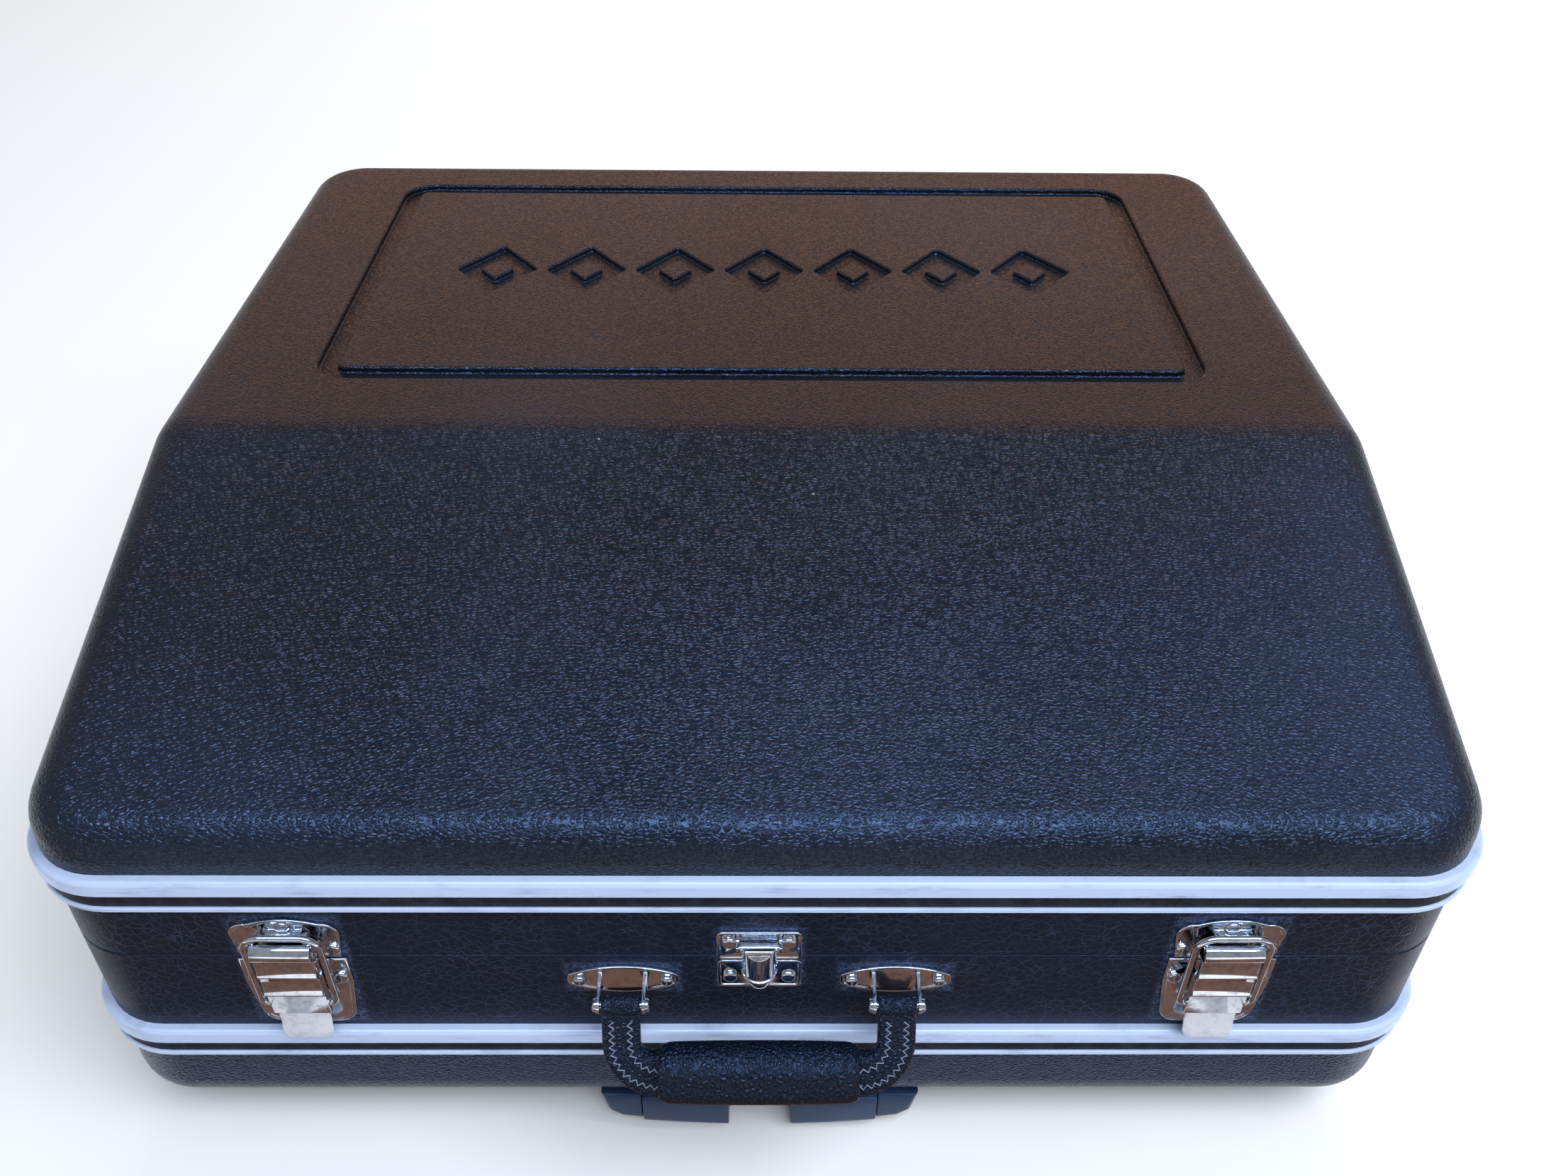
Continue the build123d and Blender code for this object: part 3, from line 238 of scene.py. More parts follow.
def makeMouldingPlastic():
    # extruded rigid PVC: pale and smooth, tinted blue by painted cool light, a little grey where dirt has
    # settled
    material, tree, place = startMaterial("paleMouldingPvc")
    along = addNode(tree, "Mapping", {"Vector": place, "Scale": (0.15, 0.15, 1.0)})
    inputs = {"Vector": along, "Scale": perMetre(5.0), "Detail": 4.0, "Roughness": 0.65}
    dirt = addNode(tree, "MapRange", {0: addNode(tree, "TexNoise", inputs), 1: 0.5, 2: 0.8}, **softStep)
    # both pale colours carry a painted blue tint of cool light on the pale trim
    base = addNode(tree, "Mix", {0: dirt, 6: hexColour("#b9cbe8"), 7: hexColour("#93a3bf")}, **colourMix)
    spots = specks(tree, place, 22, 0.8, 0.9)
    gloss = addNode(tree, "TexNoise", {"Vector": place, "Scale": perMetre(30), "Detail": 2.0})
    drawn = addNode(tree, "Mapping", {"Vector": place, "Scale": (0.1, 0.1, 1.0)})
    drawn = addNode(tree, "TexNoise", {"Vector": drawn, "Scale": perMetre(2.0), "Detail": 2.0})
    return closeMaterial(material, {
        "Base Color": addNode(tree, "Mix", {0: spots, 6: base, 7: hexColour("#6d6658")}, **colourMix),
        "Roughness": addNode(tree, "MapRange", {0: gloss, 1: 0.3, 2: 0.7, 3: 0.24, 4: 0.36}),
        "Normal": addNode(tree, "Bump", {"Height": drawn, "Distance": 0.05 * mm, "Strength": 0.5}),
        "IOR": 1.53,
    })


def makeMouldingInsert():
    # flexible black PVC strip with a printed grain: dull and finely pebbled
    material, tree, place = startMaterial("blackInsertPvc")
    grain = pebbles(tree, warped(tree, place, 1.5, 0.8), 1.3)
    cloud = addNode(tree, "TexNoise", {"Vector": place, "Scale": perMetre(8), "Detail": 3.0})
    cloud = addNode(tree, "MapRange", {0: cloud, 1: 0.4, 2: 0.7}, **softStep)
    mix = {0: cloud, 6: hexColour("#0b0e14"), 7: hexColour("#1a202b")}
    return closeMaterial(material, {
        "Base Color": addNode(tree, "Mix", mix, **colourMix),
        "Roughness": 0.42,
        "Normal": addNode(tree, "Bump", {"Height": grain, "Distance": 0.1 * mm, "Strength": 0.8}),
        "IOR": 1.52,
        "Specular Tint": hexColour("#c0d2ee"),
    })


def makePlated(name, colour, worn, polished, dull, metallic=1.0):
    # plated pressed steel: mirror bright with fine wipe marks and a thin film of dust
    material, tree, place = startMaterial(name)
    inputs = {"Vector": place, "Scale": perMetre(5), "Detail": 5.0, "Roughness": 0.7}
    film = addNode(tree, "MapRange", {0: addNode(tree, "TexNoise", inputs), 1: 0.42, 2: 0.72}, **softStep)
    wipes = addNode(tree, "Mapping", {"Vector": place, "Scale": (1.0, 1.0, 0.12), "Rotation": (0, 0.5, 0)})
    wipes = addNode(tree, "TexNoise", {"Vector": wipes, "Scale": perMetre(0.9), "Detail": 3.0})
    wiped = addNode(tree, "Math", {0: film, 1: wipes}, operation="MULTIPLY")
    waves = addNode(tree, "TexNoise", {"Vector": place, "Scale": perMetre(9), "Detail": 1.0})
    return closeMaterial(material, {
        "Base Color": addNode(tree, "Mix", {0: film, 6: hexColour(colour), 7: hexColour(worn)}, **colourMix),
        "Roughness": addNode(tree, "MapRange", {0: wiped, 1: 0.1, 2: 0.5, 3: polished, 4: dull}),
        "Normal": addNode(tree, "Bump", {"Height": waves, "Distance": 0.05 * mm, "Strength": 0.35}),
        "Metallic": metallic,
    })


def makeAluminium():
    # drawn, brushed and clear anodised aluminium: soft streaks along the tube
    material, tree, place = startMaterial("anodisedAluminium")
    along = addNode(tree, "Mapping", {"Vector": place, "Scale": (1.0, 0.02, 1.0)})
    lines = addNode(tree, "TexNoise", {"Vector": along, "Scale": perMetre(0.5), "Detail": 3.0})
    mix = {0: lines, 6: hexColour("#a9aeb4"), 7: hexColour("#c9cdd1")}
    return closeMaterial(material, {
        "Base Color": addNode(tree, "Mix", mix, **colourMix),
        "Roughness": addNode(tree, "MapRange", {0: lines, 1: 0.3, 2: 0.7, 3: 0.26, 4: 0.4}),
        "Normal": addNode(tree, "Bump", {"Height": lines, "Distance": 0.02 * mm, "Strength": 0.5}),
        "Metallic": 1.0,
    })


def makePlush():
    # short-pile plush over foam: dark red, with a painted sheen where the pile lies the other way and painted
    # shade deep in the pile
    material, tree, place = startMaterial("redPlush")
    inputs = {"Vector": place, "Scale": perMetre(34), "Detail": 4.0, "Roughness": 0.6}
    # painted sheen: brighter red in streaks where the pile lies the other way
    pileSheenStrokes = addNode(tree, "MapRange", {0: addNode(tree, "TexNoise", inputs), 1: 0.35, 2: 0.68}, **softStep)
    mix = {0: pileSheenStrokes, 6: hexColour("#4a0b14"), 7: hexColour("#7c1a26")}
    pileSheen = addNode(tree, "Mix", mix, **colourMix)
    inputs = {"Vector": place, "Scale": perMetre(0.9), "Detail": 3.0, "Roughness": 0.7}
    pile = addNode(tree, "TexNoise", inputs)
    # painted shade: darker red deep in the pile, the paler colour on its ends
    pileDepthShade = addNode(tree, "MapRange", {0: pile, 1: 0.4, 2: 0.65}, **softStep)
    return closeMaterial(material, {
        "Base Color": addNode(tree, "Mix", {0: pileDepthShade, 6: hexColour("#2c060c"), 7: pileSheen}, **colourMix),
        "Roughness": 0.95,
        "Normal": addNode(tree, "Bump", {"Height": pile, "Distance": 0.5 * mm, "Strength": 0.7}),
        "Sheen Weight": 0.6,
        "Sheen Roughness": 0.4,
        "Sheen Tint": hexColour("#c4606a"),
        "Specular IOR Level": 0.2,
    })


def makeMoulded(name, colour, haze, textureMm, low, high, tint="#c8d8f2"):
    # injection-moulded part with a fine spark-eroded texture: an even satin
    material, tree, place = startMaterial(name)
    inputs = {"Vector": place, "Scale": perMetre(28), "Detail": 4.0, "Roughness": 0.6}
    cloud = addNode(tree, "MapRange", {0: addNode(tree, "TexNoise", inputs), 1: 0.42, 2: 0.72}, **softStep)
    fine = addNode(tree, "TexNoise", {"Vector": place, "Scale": perMetre(textureMm), "Detail": 3.0})
    return closeMaterial(material, {
        "Base Color": addNode(tree, "Mix", {0: cloud, 6: hexColour(colour), 7: hexColour(haze)}, **colourMix),
        "Roughness": addNode(tree, "MapRange", {0: cloud, 1: 0.0, 2: 1.0, 3: low, 4: high}),
        "Normal": addNode(tree, "Bump", {"Height": fine, "Distance": 0.06 * mm, "Strength": 0.6}),
        "IOR": 1.5,
        "Specular Tint": hexColour(tint),
    })


def makePlywood():
    # birch plywood bent to a frame: pale, with its long grain and pores running round the case
    material, tree, place = startMaterial("birchPlywood")
    along = addNode(tree, "Mapping", {"Vector": place, "Scale": (0.06, 0.06, 1.0)})
    inputs = {"Vector": warped(tree, along, 40, 8), "Scale": perMetre(2.2), "Detail": 4.0, "Roughness": 0.6}
    figure = addNode(tree, "MapRange", {0: addNode(tree, "TexNoise", inputs), 1: 0.35, 2: 0.65}, **softStep)
    base = addNode(tree, "Mix", {0: figure, 6: hexColour("#b98f5e"), 7: hexColour("#d3b081")}, **colourMix)
    pores = addNode(tree, "Mapping", {"Vector": place, "Scale": (0.05, 0.05, 1.0)})
    pores = addNode(tree, "TexNoise", {"Vector": pores, "Scale": perMetre(0.6), "Detail": 2.0})
    pores = addNode(tree, "MapRange", {0: pores, 1: 0.6, 2: 0.75}, **softStep)
    return closeMaterial(material, {
        "Base Color": addNode(tree, "Mix", {0: pores, 6: base, 7: hexColour("#8f6a41")}, **colourMix),
        "Roughness": 0.62,
        "Normal": addNode(tree, "Bump", {"Height": pores, "Distance": 0.08 * mm, "Strength": -0.4}),
    })


def makeHandleLeather(name, acrossMm, alongMm):
    # embossed hide, glazed on the crests: coarse, slightly worm-like pebbles, with a painted highlight on the
    # crests
    material, tree, place = startMaterial(name)
    longer = addNode(tree, "Mapping", {"Vector": place, "Scale": (1.0, 1.0, acrossMm / alongMm)})
    pebble = pebbles(tree, warped(tree, longer, 2.2, 1.4), acrossMm, 0.42)
    fine = addNode(tree, "TexNoise", {"Vector": place, "Scale": perMetre(0.4), "Detail": 2.0})
    fine = addNode(tree, "Math", {0: fine, 1: 0.2}, operation="MULTIPLY")
    height = addNode(tree, "Math", {0: pebble, 1: fine}, operation="ADD")
    # painted highlight: the crests a paler blue than the creases
    mix = {0: pebble, 6: hexColour("#04070d"), 7: hexColour("#0e1726")}
    return closeMaterial(material, {
        "Base Color": addNode(tree, "Mix", mix, **colourMix),
        "Roughness": addNode(tree, "MapRange", {0: pebble, 1: 0.0, 2: 1.0, 3: 0.5, 4: 0.24}),
        "Normal": addNode(tree, "Bump", {"Height": height, "Distance": 0.55 * mm, "Strength": 1.0}),
        "IOR": 1.6,
        "Specular Tint": hexColour("#bcd3f6"),
    })


def makeThread():
    # twisted polyester thread: dull, and grey with use
    material, tree, place = startMaterial("greyThread")
    plies = addNode(tree, "TexNoise", {"Vector": place, "Scale": perMetre(0.5), "Detail": 2.0})
    mix = {0: plies, 6: hexColour("#5f6b80"), 7: hexColour("#9aa6bb")}
    return closeMaterial(material, {
        "Base Color": addNode(tree, "Mix", mix, **colourMix),
        "Roughness": 0.7,
        "Normal": addNode(tree, "Bump", {"Height": plies, "Distance": 0.1 * mm, "Strength": 0.6}),
    })


finishes = {
    "shell_plastic": makeShellPlastic(shellLook),
    "leathercloth": makeLeathercloth(clothLook),
    "moulding_plastic": makeMouldingPlastic(),
    "moulding_insert": makeMouldingInsert(),
    "chrome_steel": makePlated("chromePlatedSteel", "#dfe3e8", "#b4b6ba", 0.07, 0.2),
    "rivet_steel": makePlated("nickelPlatedRivets", "#d5d8dc", "#a9abae", 0.1, 0.26),
    "pin_steel": makePlated("brightPinSteel", "#c9ccd0", "#9c9ea1", 0.16, 0.3),
    "hinge_steel": makePlated("zincPlatedHinge", "#c2c6cb", "#8f9296", 0.22, 0.38),
    "aluminium": makeAluminium(),
    "plush": makePlush(),
    "frame_board": makePlywood(),
    # the handle's blue-grey is painted cool light on dark nylon
    "handle_plastic": makeMoulded("satinHandleNylon", "#1c2c46", "#263a58", 0.6, 0.34, 0.44),
    "button_plastic": makeMoulded("greyButtonAcetal", "#4b515b", "#5a606b", 0.5, 0.3, 0.42),
    "wheel_rubber": makeMoulded("blackTyreRubber", "#0b0b0c", "#1c1b1b", 0.9, 0.62, 0.78, "#e0e4ec"),
}
tabFinish = makePlated("satinZincTab", "#eef3fb", "#cfd6e2", 0.42, 0.55, 0.45)
handleLeather = makeHandleLeather("embossedHandleLeather", 2.0, 3.2)
strapLeather = makeHandleLeather("strapLeather", 1.9, 1.9)
threadFinish = makeThread()
slotOfNode = {}
for name, node in nodes.items():
    for slot in node.material_slots:
        slotOfNode[name] = slot.material.name.split(".")[0]
        slot.material = finishes[slotOfNode[name]]
print("materials made and given to", len(slotOfNode), "CAD nodes")


def deselectAll():
    if bpy.context.object and bpy.context.object.mode != "OBJECT":
        bpy.ops.object.mode_set(mode="OBJECT")
    bpy.ops.object.select_all(action="DESELECT")


def pick(piece):
    deselectAll()
    piece.select_set(True)
    bpy.context.view_layer.objects.active = piece
    return piece


def added(name):
    # the primitive just made, with its place moved into its mesh
    piece = bpy.context.object
    piece.name = name
    bpy.ops.object.transform_apply(location=True, rotation=True, scale=True)
    return piece


def selectFaces(piece, test):
    # edit mode with only the faces that pass the test selected
    bpy.ops.object.mode_set(mode="EDIT")
    bpy.ops.mesh.select_mode(type="FACE")
    bpy.ops.mesh.select_all(action="DESELECT")
    mesh = bmesh.from_edit_mesh(piece.data)
    for face in mesh.faces:
        face.select_set(test(face))
    bmesh.update_edit_mesh(piece.data)


def selectEdges(piece, test):
    bpy.ops.object.mode_set(mode="EDIT")
    bpy.ops.mesh.select_mode(type="EDGE")
    bpy.ops.mesh.select_all(action="DESELECT")
    mesh = bmesh.from_edit_mesh(piece.data)
    for edge in mesh.edges:
        edge.select_set(test(edge))
    bmesh.update_edit_mesh(piece.data)


def finishPiece(piece, body, material, replaced=(), smoothDegrees=40):
    pick(piece)
    bpy.ops.object.shade_smooth_by_angle(angle=math.radians(smoothDegrees))
    piece.data.materials.clear()
    piece.data.materials.append(material)
    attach(piece, body)
    if replaced:
        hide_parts(*replaced)
    return piece


def copyOfNode(nodeName, pieceName):
    # a merged copy of a CAD node, with its flat triangles joined
    source = nodes[nodeName]
    piece = bpy.data.objects.new(pieceName, source.data.copy())
    bpy.context.scene.collection.objects.link(piece)
    pick(piece)
    bpy.ops.object.mode_set(mode="EDIT")
    bpy.ops.mesh.select_all(action="SELECT")
    bpy.ops.mesh.remove_doubles(threshold=0.002 * mm)
    bpy.ops.mesh.dissolve_limited(angle_limit=math.radians(0.6))
    bpy.ops.object.mode_set(mode="OBJECT")
    return piece


def applyModifier(piece, kind, **settings):
    pick(piece)
    modifier = piece.modifiers.new(kind.title(), kind)
    for name, value in settings.items():
        setattr(modifier, name, value)
    bpy.ops.object.modifier_apply(modifier=modifier.name)


# The handle hangs from two pins, turned a little out from the case
handleShape = {
    "hang": math.radians(24),
    "gripLength": 86 * mm,
    "gripTall": 24.5 * mm,
    "gripThick": 21 * mm,
    "gripDrop": 32.6 * mm,  # pins to the grip's middle
    "crown": 0.055,
    "strapWidth": 16.4 * mm,
    "strapThick": 6.4 * mm,
    "strapStraight": 17.5 * mm,
    "turnRadius": 7.6 * mm,  # of the strap's inner edge
    "eyeRadius": 4.4 * mm,
    "turnSteps": 10,
    "edgeRound": 1.9 * mm,
    "flangeTall": 3.0 * mm,
    "flangeThick": 2.6 * mm,
    "stitchInset": 4.3 * mm,
    "stitchWave": 3.4 * mm,
    "stitchSwing": 1.1 * mm,
    "threadRadius": 0.34 * mm,
}
pinLow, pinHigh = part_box("handle_pins")
pinMiddle = Vector((0, (pinLow.y + pinHigh.y) / 2, (pinLow.z + pinHigh.z) / 2))
handlePlace = Matrix.Translation(pinMiddle) @ Matrix.Rotation(-handleShape["hang"], 4, "X")
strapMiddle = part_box("handle_right_strap")[1].x - handleShape["strapWidth"] / 2


def placeHandlePiece(piece):
    piece.data.transform(handlePlace)
    return piece


def makeGrip(shape):
    # leather drawn round a core, fuller in its middle, with the sewn edge below it
    length, tall, thick = shape["gripLength"], shape["gripTall"], shape["gripThick"]
    deselectAll()
    bpy.ops.mesh.primitive_cube_add(size=1, location=(0, 0, -shape["gripDrop"]), scale=(length, thick, tall))
    grip = added("handleGripLeather")
    selectEdges(grip, lambda e: abs(e.verts[0].co.x - e.verts[1].co.x) > length / 2)
    bpy.ops.mesh.bevel(offset=8.6 * mm, segments=6)
    selectEdges(grip, lambda e: abs(e.verts[0].co.x - e.verts[1].co.x) > length / 2)
    bpy.ops.mesh.subdivide(number_cuts=23)
    bpy.ops.object.mode_set(mode="OBJECT")
    for vertex in grip.data.vertices:
        along = abs(vertex.co.x) / (length / 2)
        swell = 1 + shape["crown"] * (1 - along**2.4) - 0.10 * max(0, along - 0.93) / 0.07
        vertex.co.y *= swell
        vertex.co.z = -shape["gripDrop"] + (vertex.co.z + shape["gripDrop"]) * swell
    selectFaces(grip, lambda f: abs(f.normal.x) > 0.9)
    bpy.ops.mesh.inset(thickness=1.2 * mm)
    bpy.ops.mesh.inset(thickness=2.5 * mm, depth=-0.8 * mm)
    bpy.ops.object.mode_set(mode="OBJECT")
    applyModifier(grip, "SUBSURF", levels=2, render_levels=2)
    low = -shape["gripDrop"] - tall / 2 - 0.4 * mm
    deselectAll()
    size = (length - 1.5 * mm, shape["flangeThick"], shape["flangeTall"])
    bpy.ops.mesh.primitive_cube_add(size=1, location=(0, 0.6 * mm, low), scale=size)
    flange = added("handleGripEdge")
    selectEdges(flange, lambda e: True)
    bpy.ops.mesh.bevel(offset=0.7 * mm, segments=3)
    bpy.ops.object.mode_set(mode="OBJECT")
    return grip, flange


def strapPath(shape, inset):
    # points along the strap, inset from its outer edge, in the handle's own plane
    outer = shape["turnRadius"] + shape["strapWidth"]
    cornerX = strapMiddle + shape["strapWidth"] / 2 - outer
    radius = outer - inset
    straight = shape["strapStraight"]
    total = straight - 6 * mm + radius * math.pi / 2
    return cornerX, radius, straight, total


def stitchPoints(shape, inset, side):
    faceY = -shape["strapThick"] / 2 - 0.15 * mm
    cornerX, radius, straight, total = strapPath(shape, inset)
    start = 6 * mm
    count = int(total / (shape["stitchWave"] / 2))
    points = []
    for i in range(count + 1):
        run = start + total * i / count
        swing = shape["stitchSwing"] * (1 if i % 2 else -1)
        turn = max(0, run - straight) / radius
        if run < straight:
            x, z = cornerX + radius + swing, -run
        else:
            x = cornerX + (radius + swing) * math.cos(turn)
            z = -straight - (radius + swing) * math.sin(turn)
        points.append((side * x, faceY * (1 + 0.3 * turn / (math.pi / 2)), z, 1))
    return points


def makeStrap(shape, side, name):
    # a flat strap looped on its pin, cut in a quarter turn towards the grip
    width, thick = shape["strapWidth"], shape["strapThick"]
    middleX = side * strapMiddle
    deselectAll()
    bpy.ops.mesh.primitive_plane_add(size=1, location=(middleX, 0, 0))
    bpy.ops.transform.resize(value=(width, thick, 1))
    strap = added(name)
    bpy.ops.object.mode_set(mode="EDIT")
    bpy.ops.mesh.select_all(action="SELECT")
    drop = -shape["strapStraight"] / 6
    for _ in range(6):
        bpy.ops.mesh.extrude_region_move(TRANSFORM_OT_translate={"value": (0, 0, drop)})
    cornerX = side * (strapMiddle - width / 2 - shape["turnRadius"])
    centre = (cornerX, 0, -shape["strapStraight"])
    bpy.ops.mesh.spin(steps=shape["turnSteps"], angle=-side * math.pi / 2, center=centre, axis=(0, 1, 0))
    bpy.ops.mesh.extrude_region_move(TRANSFORM_OT_translate={"value": (-side * 5 * mm, 0, 0)})
    bpy.ops.mesh.select_all(action="SELECT")
    bpy.ops.mesh.remove_doubles(threshold=0.01 * mm)
    bpy.ops.mesh.normals_make_consistent(inside=False)
    bpy.ops.object.mode_set(mode="OBJECT")
    for vertex in strap.data.vertices:  # the strap widens where it meets the grip
        across = side * vertex.co.x - side * cornerX
        below = -shape["strapStraight"] - vertex.co.z
        turned = min(1, math.atan2(max(0, below), max(across, 1e-6)) / (math.pi / 2))
        reach = math.hypot(max(across, 0), max(below, 0))
        if turned > 0:
            wider = turned**2 * (1.8 * mm if reach > shape["turnRadius"] + width / 2 else -3.2 * mm)
            vertex.co.z -= wider * below / reach
            vertex.co.x += side * wider * across / reach
        vertex.co.y *= 1 + 0.3 * turned
    selectEdges(strap, lambda e: len(e.link_faces) == 2 and e.calc_face_angle() > 1.0)
    bpy.ops.mesh.bevel(offset=shape["edgeRound"], segments=4)
    bpy.ops.object.mode_set(mode="OBJECT")
    applyModifier(strap, "SUBSURF", levels=1, render_levels=1)
    deselectAll()
    bpy.ops.mesh.primitive_cylinder_add(
        vertices=40, radius=shape["eyeRadius"], depth=width,
        location=(middleX, 0, 0), rotation=(0, math.pi / 2, 0),
    )
    eye = added(name + "Eye")
    selectEdges(eye, lambda e: len(e.link_faces) == 2 and e.calc_face_angle() > 1.0)
    bpy.ops.mesh.bevel(offset=1.2 * mm, segments=3)
    bpy.ops.object.mode_set(mode="OBJECT")
    deselectAll()
    eye.select_set(True)
    strap.select_set(True)
    bpy.context.view_layer.objects.active = strap
    bpy.ops.object.join()
    return strap


def makeStitches(shape, side, name):
    # two rows of zigzag stitching, a thread laid on the strap's face
    curve = bpy.data.curves.new(name, "CURVE")
    curve.dimensions = "3D"
    curve.bevel_depth = shape["threadRadius"]
    curve.bevel_resolution = 1
    rows = (shape["stitchInset"], shape["strapWidth"] - shape["stitchInset"])
    for inset in rows:
        points = stitchPoints(shape, inset, side)
        spline = curve.splines.new("POLY")
        spline.points.add(len(points) - 1)
        for point, place in zip(spline.points, points):
            point.co = place
    stitches = bpy.data.objects.new(name, curve)
    bpy.context.scene.collection.objects.link(stitches)
    pick(stitches)
    bpy.ops.object.convert(target="MESH")
    return bpy.context.object


gripPiece, gripEdge = makeGrip(handleShape)
finishPiece(placeHandlePiece(gripPiece), "handle", handleLeather, ["handle_grip"], 60)
finishPiece(placeHandlePiece(gripEdge), "handle", strapLeather)
for side, label in ((-1, "left"), (1, "right")):
    strap = makeStrap(handleShape, side, label + "HandleStrap")
    placeHandlePiece(strap)
    finishPiece(strap, "handle", strapLeather, [f"handle_{label}_strap"], 60)
    stitches = makeStitches(handleShape, side, label + "StrapStitches")
    finishPiece(placeHandlePiece(stitches), "handle", threadFinish, (), 60)
print("handle made")


# Pressed fittings keep their shape and gain rolled edges that catch the light
softEdges = {
    "left_latch_lever": 0.32,
    "right_latch_lever": 0.32,
    "left_latch_plate": 0.3,
    "right_latch_plate": 0.3,
    "left_latch_catch": 0.3,
    "right_latch_catch": 0.3,
    "left_latch_tab": 0.35,
    "right_latch_tab": 0.35,
    "lock_lid_plate": 0.25,
    "lock_base_plate": 0.25,
    "lock_tongue": 0.3,
    "left_handle_bracket": 0.3,
    "right_handle_bracket": 0.3,
    "pull_grip": 0.6,
    "pull_housing": 0.6,
}


def camelName(nodeName):
    first, *rest = nodeName.split("_")
    return first + "".join(word.title() for word in rest)


bodyOfNode = {n: body for body, members in frame["record"]["behaviour"]["bodies"].items() for n in members}
for nodeName, widthMm in softEdges.items():
    piece = copyOfNode(nodeName, camelName(nodeName) + "Finished")
    applyModifier(
        piece, "BEVEL", width=widthMm * mm, segments=2, limit_method="ANGLE",
        angle_limit=math.radians(35), use_clamp_overlap=False, harden_normals=False,
    )
    slotName = slotOfNode[nodeName]
    finish = tabFinish if nodeName.endswith("latch_tab") else finishes[slotName]
    finishPiece(piece, bodyOfNode[nodeName], finish, [nodeName], 42)
print("edges rolled on", len(softEdges), "fittings")


# Plush over foam: linings pressed into each half, and two filled pads for the instrument
paddedPieces = {
    "base_lining": {"name": "baseLiningPlush", "voxel": 4.2, "dimple": 1.3, "fill": 0.8, "blown": False},
    "lid_lining": {"name": "lidLiningPlush", "voxel": 4.8, "dimple": 1.3, "fill": 0.8, "blown": False},
    "support_pads": {"name": "supportPadsPlush", "voxel": 5.0, "dimple": 0.6, "fill": 0.9, "blown": True},
}


def blowUp(piece, limitMm, pressure=4.0):
    # swells the pad under pressure, no vertex moving further than the limit
    before = [vertex.co.copy() for vertex in piece.data.vertices]
    pick(piece)
    cloth = piece.modifiers.new("Swell", "CLOTH")
    cloth.settings.use_pressure = True
    cloth.settings.uniform_pressure_force = pressure
    cloth.settings.effector_weights.gravity = 0
    cloth.point_cache.frame_end = 20
    for step in range(1, 21):
        bpy.context.scene.frame_set(step)
    bpy.ops.object.modifier_apply(modifier=cloth.name)
    bpy.context.scene.frame_set(1)
    for vertex, start in zip(piece.data.vertices, before):
        move = vertex.co - start
        if move.length > limitMm * mm:
            vertex.co = start + move.normalized() * limitMm * mm


def makePadded(nodeName, shape):
    piece = copyOfNode(nodeName, shape["name"])
    low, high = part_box(nodeName)
    piece.data.remesh_voxel_size = shape["voxel"] * mm
    bpy.ops.object.voxel_remesh()
    applyModifier(piece, "SMOOTH", factor=0.6, iterations=4)
    if shape["blown"]:
        blowUp(piece, 3.0)
    cloud = bpy.data.textures.new(shape["name"] + "Dimples", "CLOUDS")
    cloud.noise_scale = 0.05
    applyModifier(piece, "DISPLACE", texture=cloud, strength=shape["dimple"] * mm, mid_level=1.0)
    for vertex in piece.data.vertices:  # held inside the room its foam has
        for axis in range(3):
            vertex.co[axis] = min(max(vertex.co[axis], low[axis]), high[axis])
    if shape["blown"]:
        applyModifier(piece, "SUBSURF", levels=1, render_levels=1)
    finishPiece(piece, bodyOfNode[nodeName], finishes["plush"], [nodeName], 180)


for nodeName, shape in paddedPieces.items():
    makePadded(nodeName, shape)
print("linings and pads made")


# Stage: pale floor, soft lights and four reflection cards that only gloss sees
stageLook = {
    "floorSize": 9.0,
    "floorColour": "#f6f6f6",
    "world": "#dfe6f2",
    "worldStrength": 0.4,
}
lightSetup = {
    "overheadSoftbox": {
        "at": (0.9, -1.3, 2.4), "aim": (0, -0.1, 0.1), "size": (2.6, 1.6), "watts": 88, "colour": "#f4f7ff",
    },
    "backFill": {
        "at": (0.5, 2.5, 2.1), "aim": (0, 0.2, 0.1), "size": (2.6, 1.4), "watts": 50, "colour": "#fffaf4",
    },
}
cardSetup = {
    "brownCard": {
        "at": (0, 2.6, 1.35), "turn": (math.radians(66), 0, 0), "size": (4.8, 1.7),
        "colour": "#b98360", "glow": 1.7,
    },
    "darkFloorCard": {
        "at": (0, frontY - 0.17, 0.004), "turn": (0, 0, 0), "size": (3.0, 0.3),
        "colour": "#5e4436", "glow": 0.5,
    },
    "skyCard": {
        "at": (0.35, -1.05, 2.3), "turn": (-0.4, 0, 0), "size": (3.0, 0.4),
        "colour": "#b0cdff", "glow": 34.0,
    },
    "rightSkyCard": {
        "at": (1.3, 0.3, 2.1), "turn": (0, 0.45, 0), "size": (0.8, 0.8),
        "colour": "#a9c6f7", "glow": 2.6,
    },
}


def makeFloor(look):
    deselectAll()
    bpy.ops.mesh.primitive_plane_add(size=look["floorSize"], location=(0, 0, 0))
    floor = added("studioFloor")
    inputs = {"Base Color": hexColour(look["floorColour"]), "Roughness": 0.9, "Specular IOR Level": 0.1}
    floor.data.materials.append(makePaper("matFloorPaper", inputs))


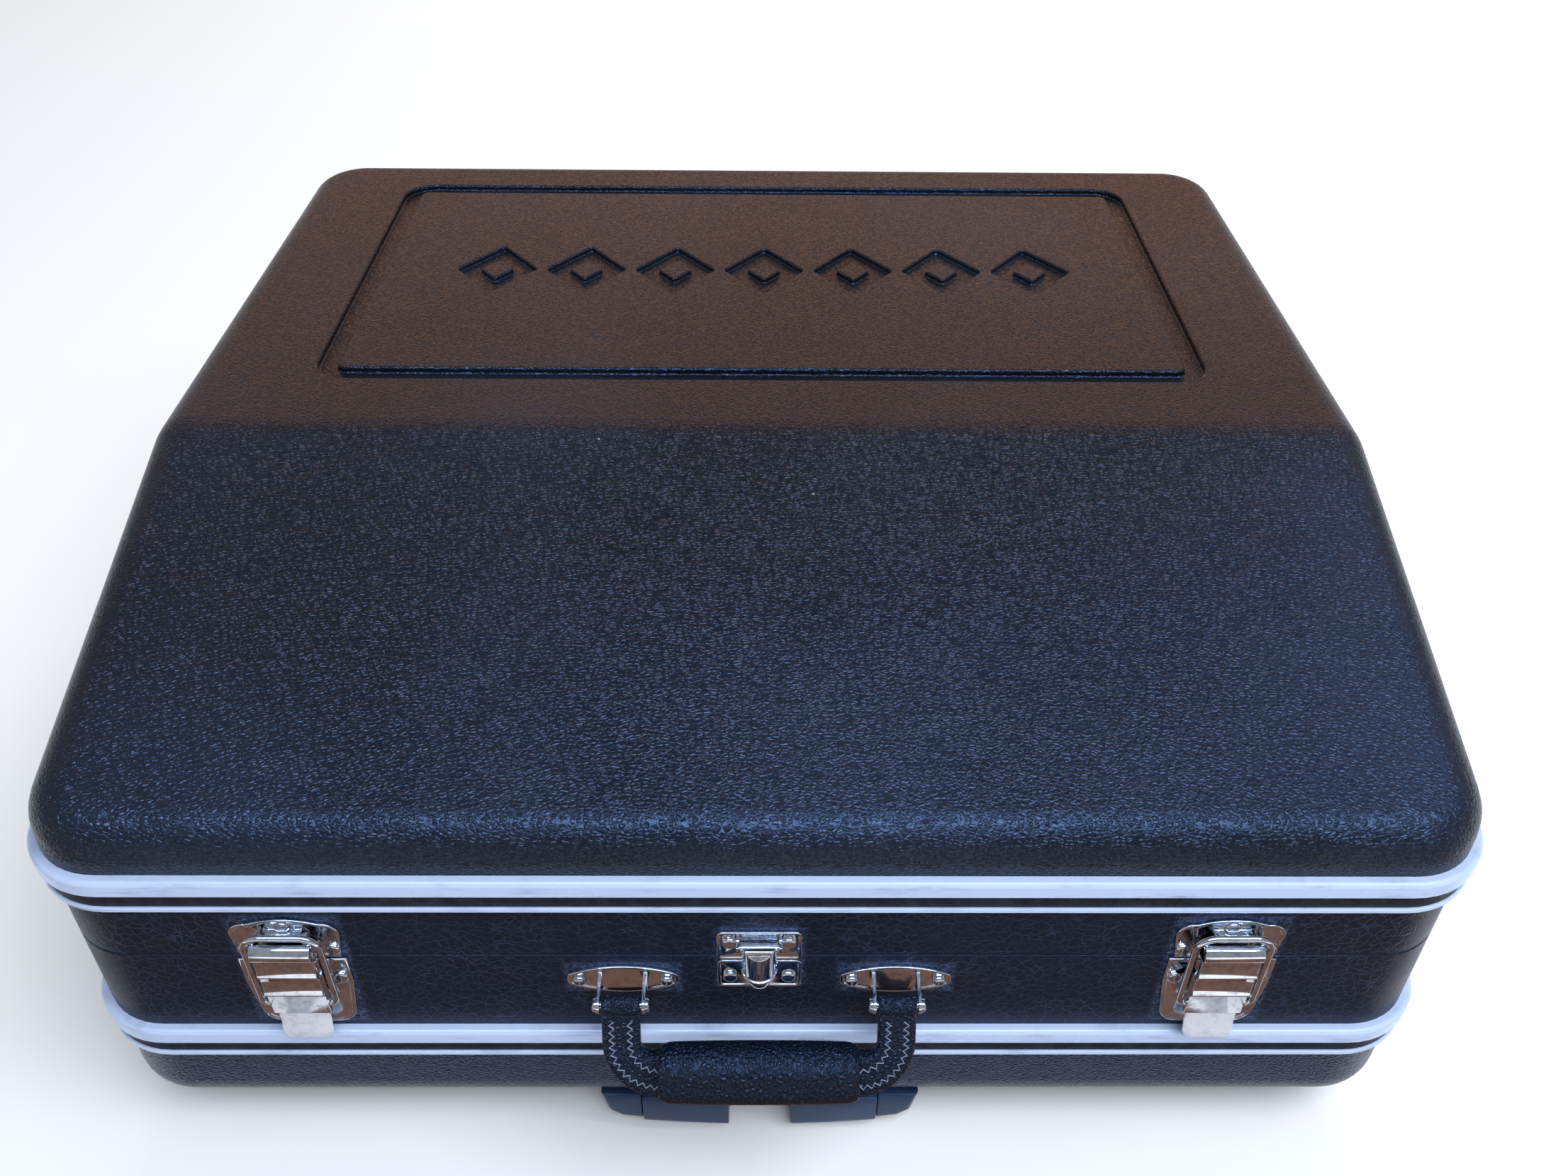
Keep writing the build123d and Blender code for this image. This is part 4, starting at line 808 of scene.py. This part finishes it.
def makeLight(name, setup):
    lamp = bpy.data.lights.new(name, "AREA")
    lamp.shape = "RECTANGLE"
    lamp.size, lamp.size_y = setup["size"]
    lamp.energy = setup["watts"]
    lamp.color = hexColour(setup["colour"])[:3]
    light = bpy.data.objects.new(name, lamp)
    light.location = setup["at"]
    aim = Vector(setup["aim"]) - Vector(setup["at"])
    light.rotation_euler = aim.to_track_quat("-Z", "Y").to_euler()
    light.visible_glossy = False  # the cards alone shape the reflections
    bpy.context.scene.collection.objects.link(light)


def makeCard(name, setup):
    # a coloured studio card, seen only in reflections
    deselectAll()
    bpy.ops.mesh.primitive_plane_add(size=1, location=setup["at"], rotation=setup["turn"])
    card = bpy.context.object
    card.name = name
    card.scale = (*setup["size"], 1)
    colour = hexColour(setup["colour"])
    card.data.materials.append(makePaper(name + "Paper", {
        "Base Color": colour,
        "Roughness": 1.0,
        "Emission Color": colour,
        "Emission Strength": setup["glow"],
    }))
    card.visible_camera = False
    card.visible_diffuse = False
    card.visible_shadow = False
    card.visible_transmission = False


makeFloor(stageLook)
for name, setup in lightSetup.items():
    makeLight(name, setup)
for name, setup in cardSetup.items():
    makeCard(name, setup)
world = bpy.data.worlds.new("softStudio")
world.use_nodes = True
background = world.node_tree.nodes["Background"]
background.inputs["Color"].default_value = hexColour(stageLook["world"])
background.inputs["Strength"].default_value = stageLook["worldStrength"]
bpy.context.scene.world = world
bpy.context.scene.view_settings.view_transform = "Standard"
print("stage and lights set")


cameraSetup = {
    "focalMm": 31.467,
    "sensorMm": 36.0,
    "side": 3.33 * mm,
    "before": 358.59 * mm,  # in front of the handle's face
    "above": 602.34 * mm,  # above the base shell's underside
    "tilt": math.radians(90 - 38.61),
    "heading": math.radians(-0.83),
    "roll": math.radians(0.72),
}


def makeCamera(setup):
    lens = bpy.data.cameras.new("caseCamera")
    lens.lens = setup["focalMm"]
    lens.sensor_width = setup["sensorMm"]
    lens.clip_start = 0.02
    camera = bpy.data.objects.new("caseCamera", lens)
    bpy.context.scene.collection.objects.link(camera)
    turn = Matrix.Rotation(setup["heading"], 4, "Z") @ Matrix.Rotation(setup["tilt"], 4, "X")
    turn = turn @ Matrix.Rotation(setup["roll"], 4, "Z")
    place = Matrix.Translation((setup["side"], frontY - setup["before"], baseZ + setup["above"]))
    camera.matrix_world = place @ turn
    bpy.context.scene.camera = camera


makeCamera(cameraSetup)
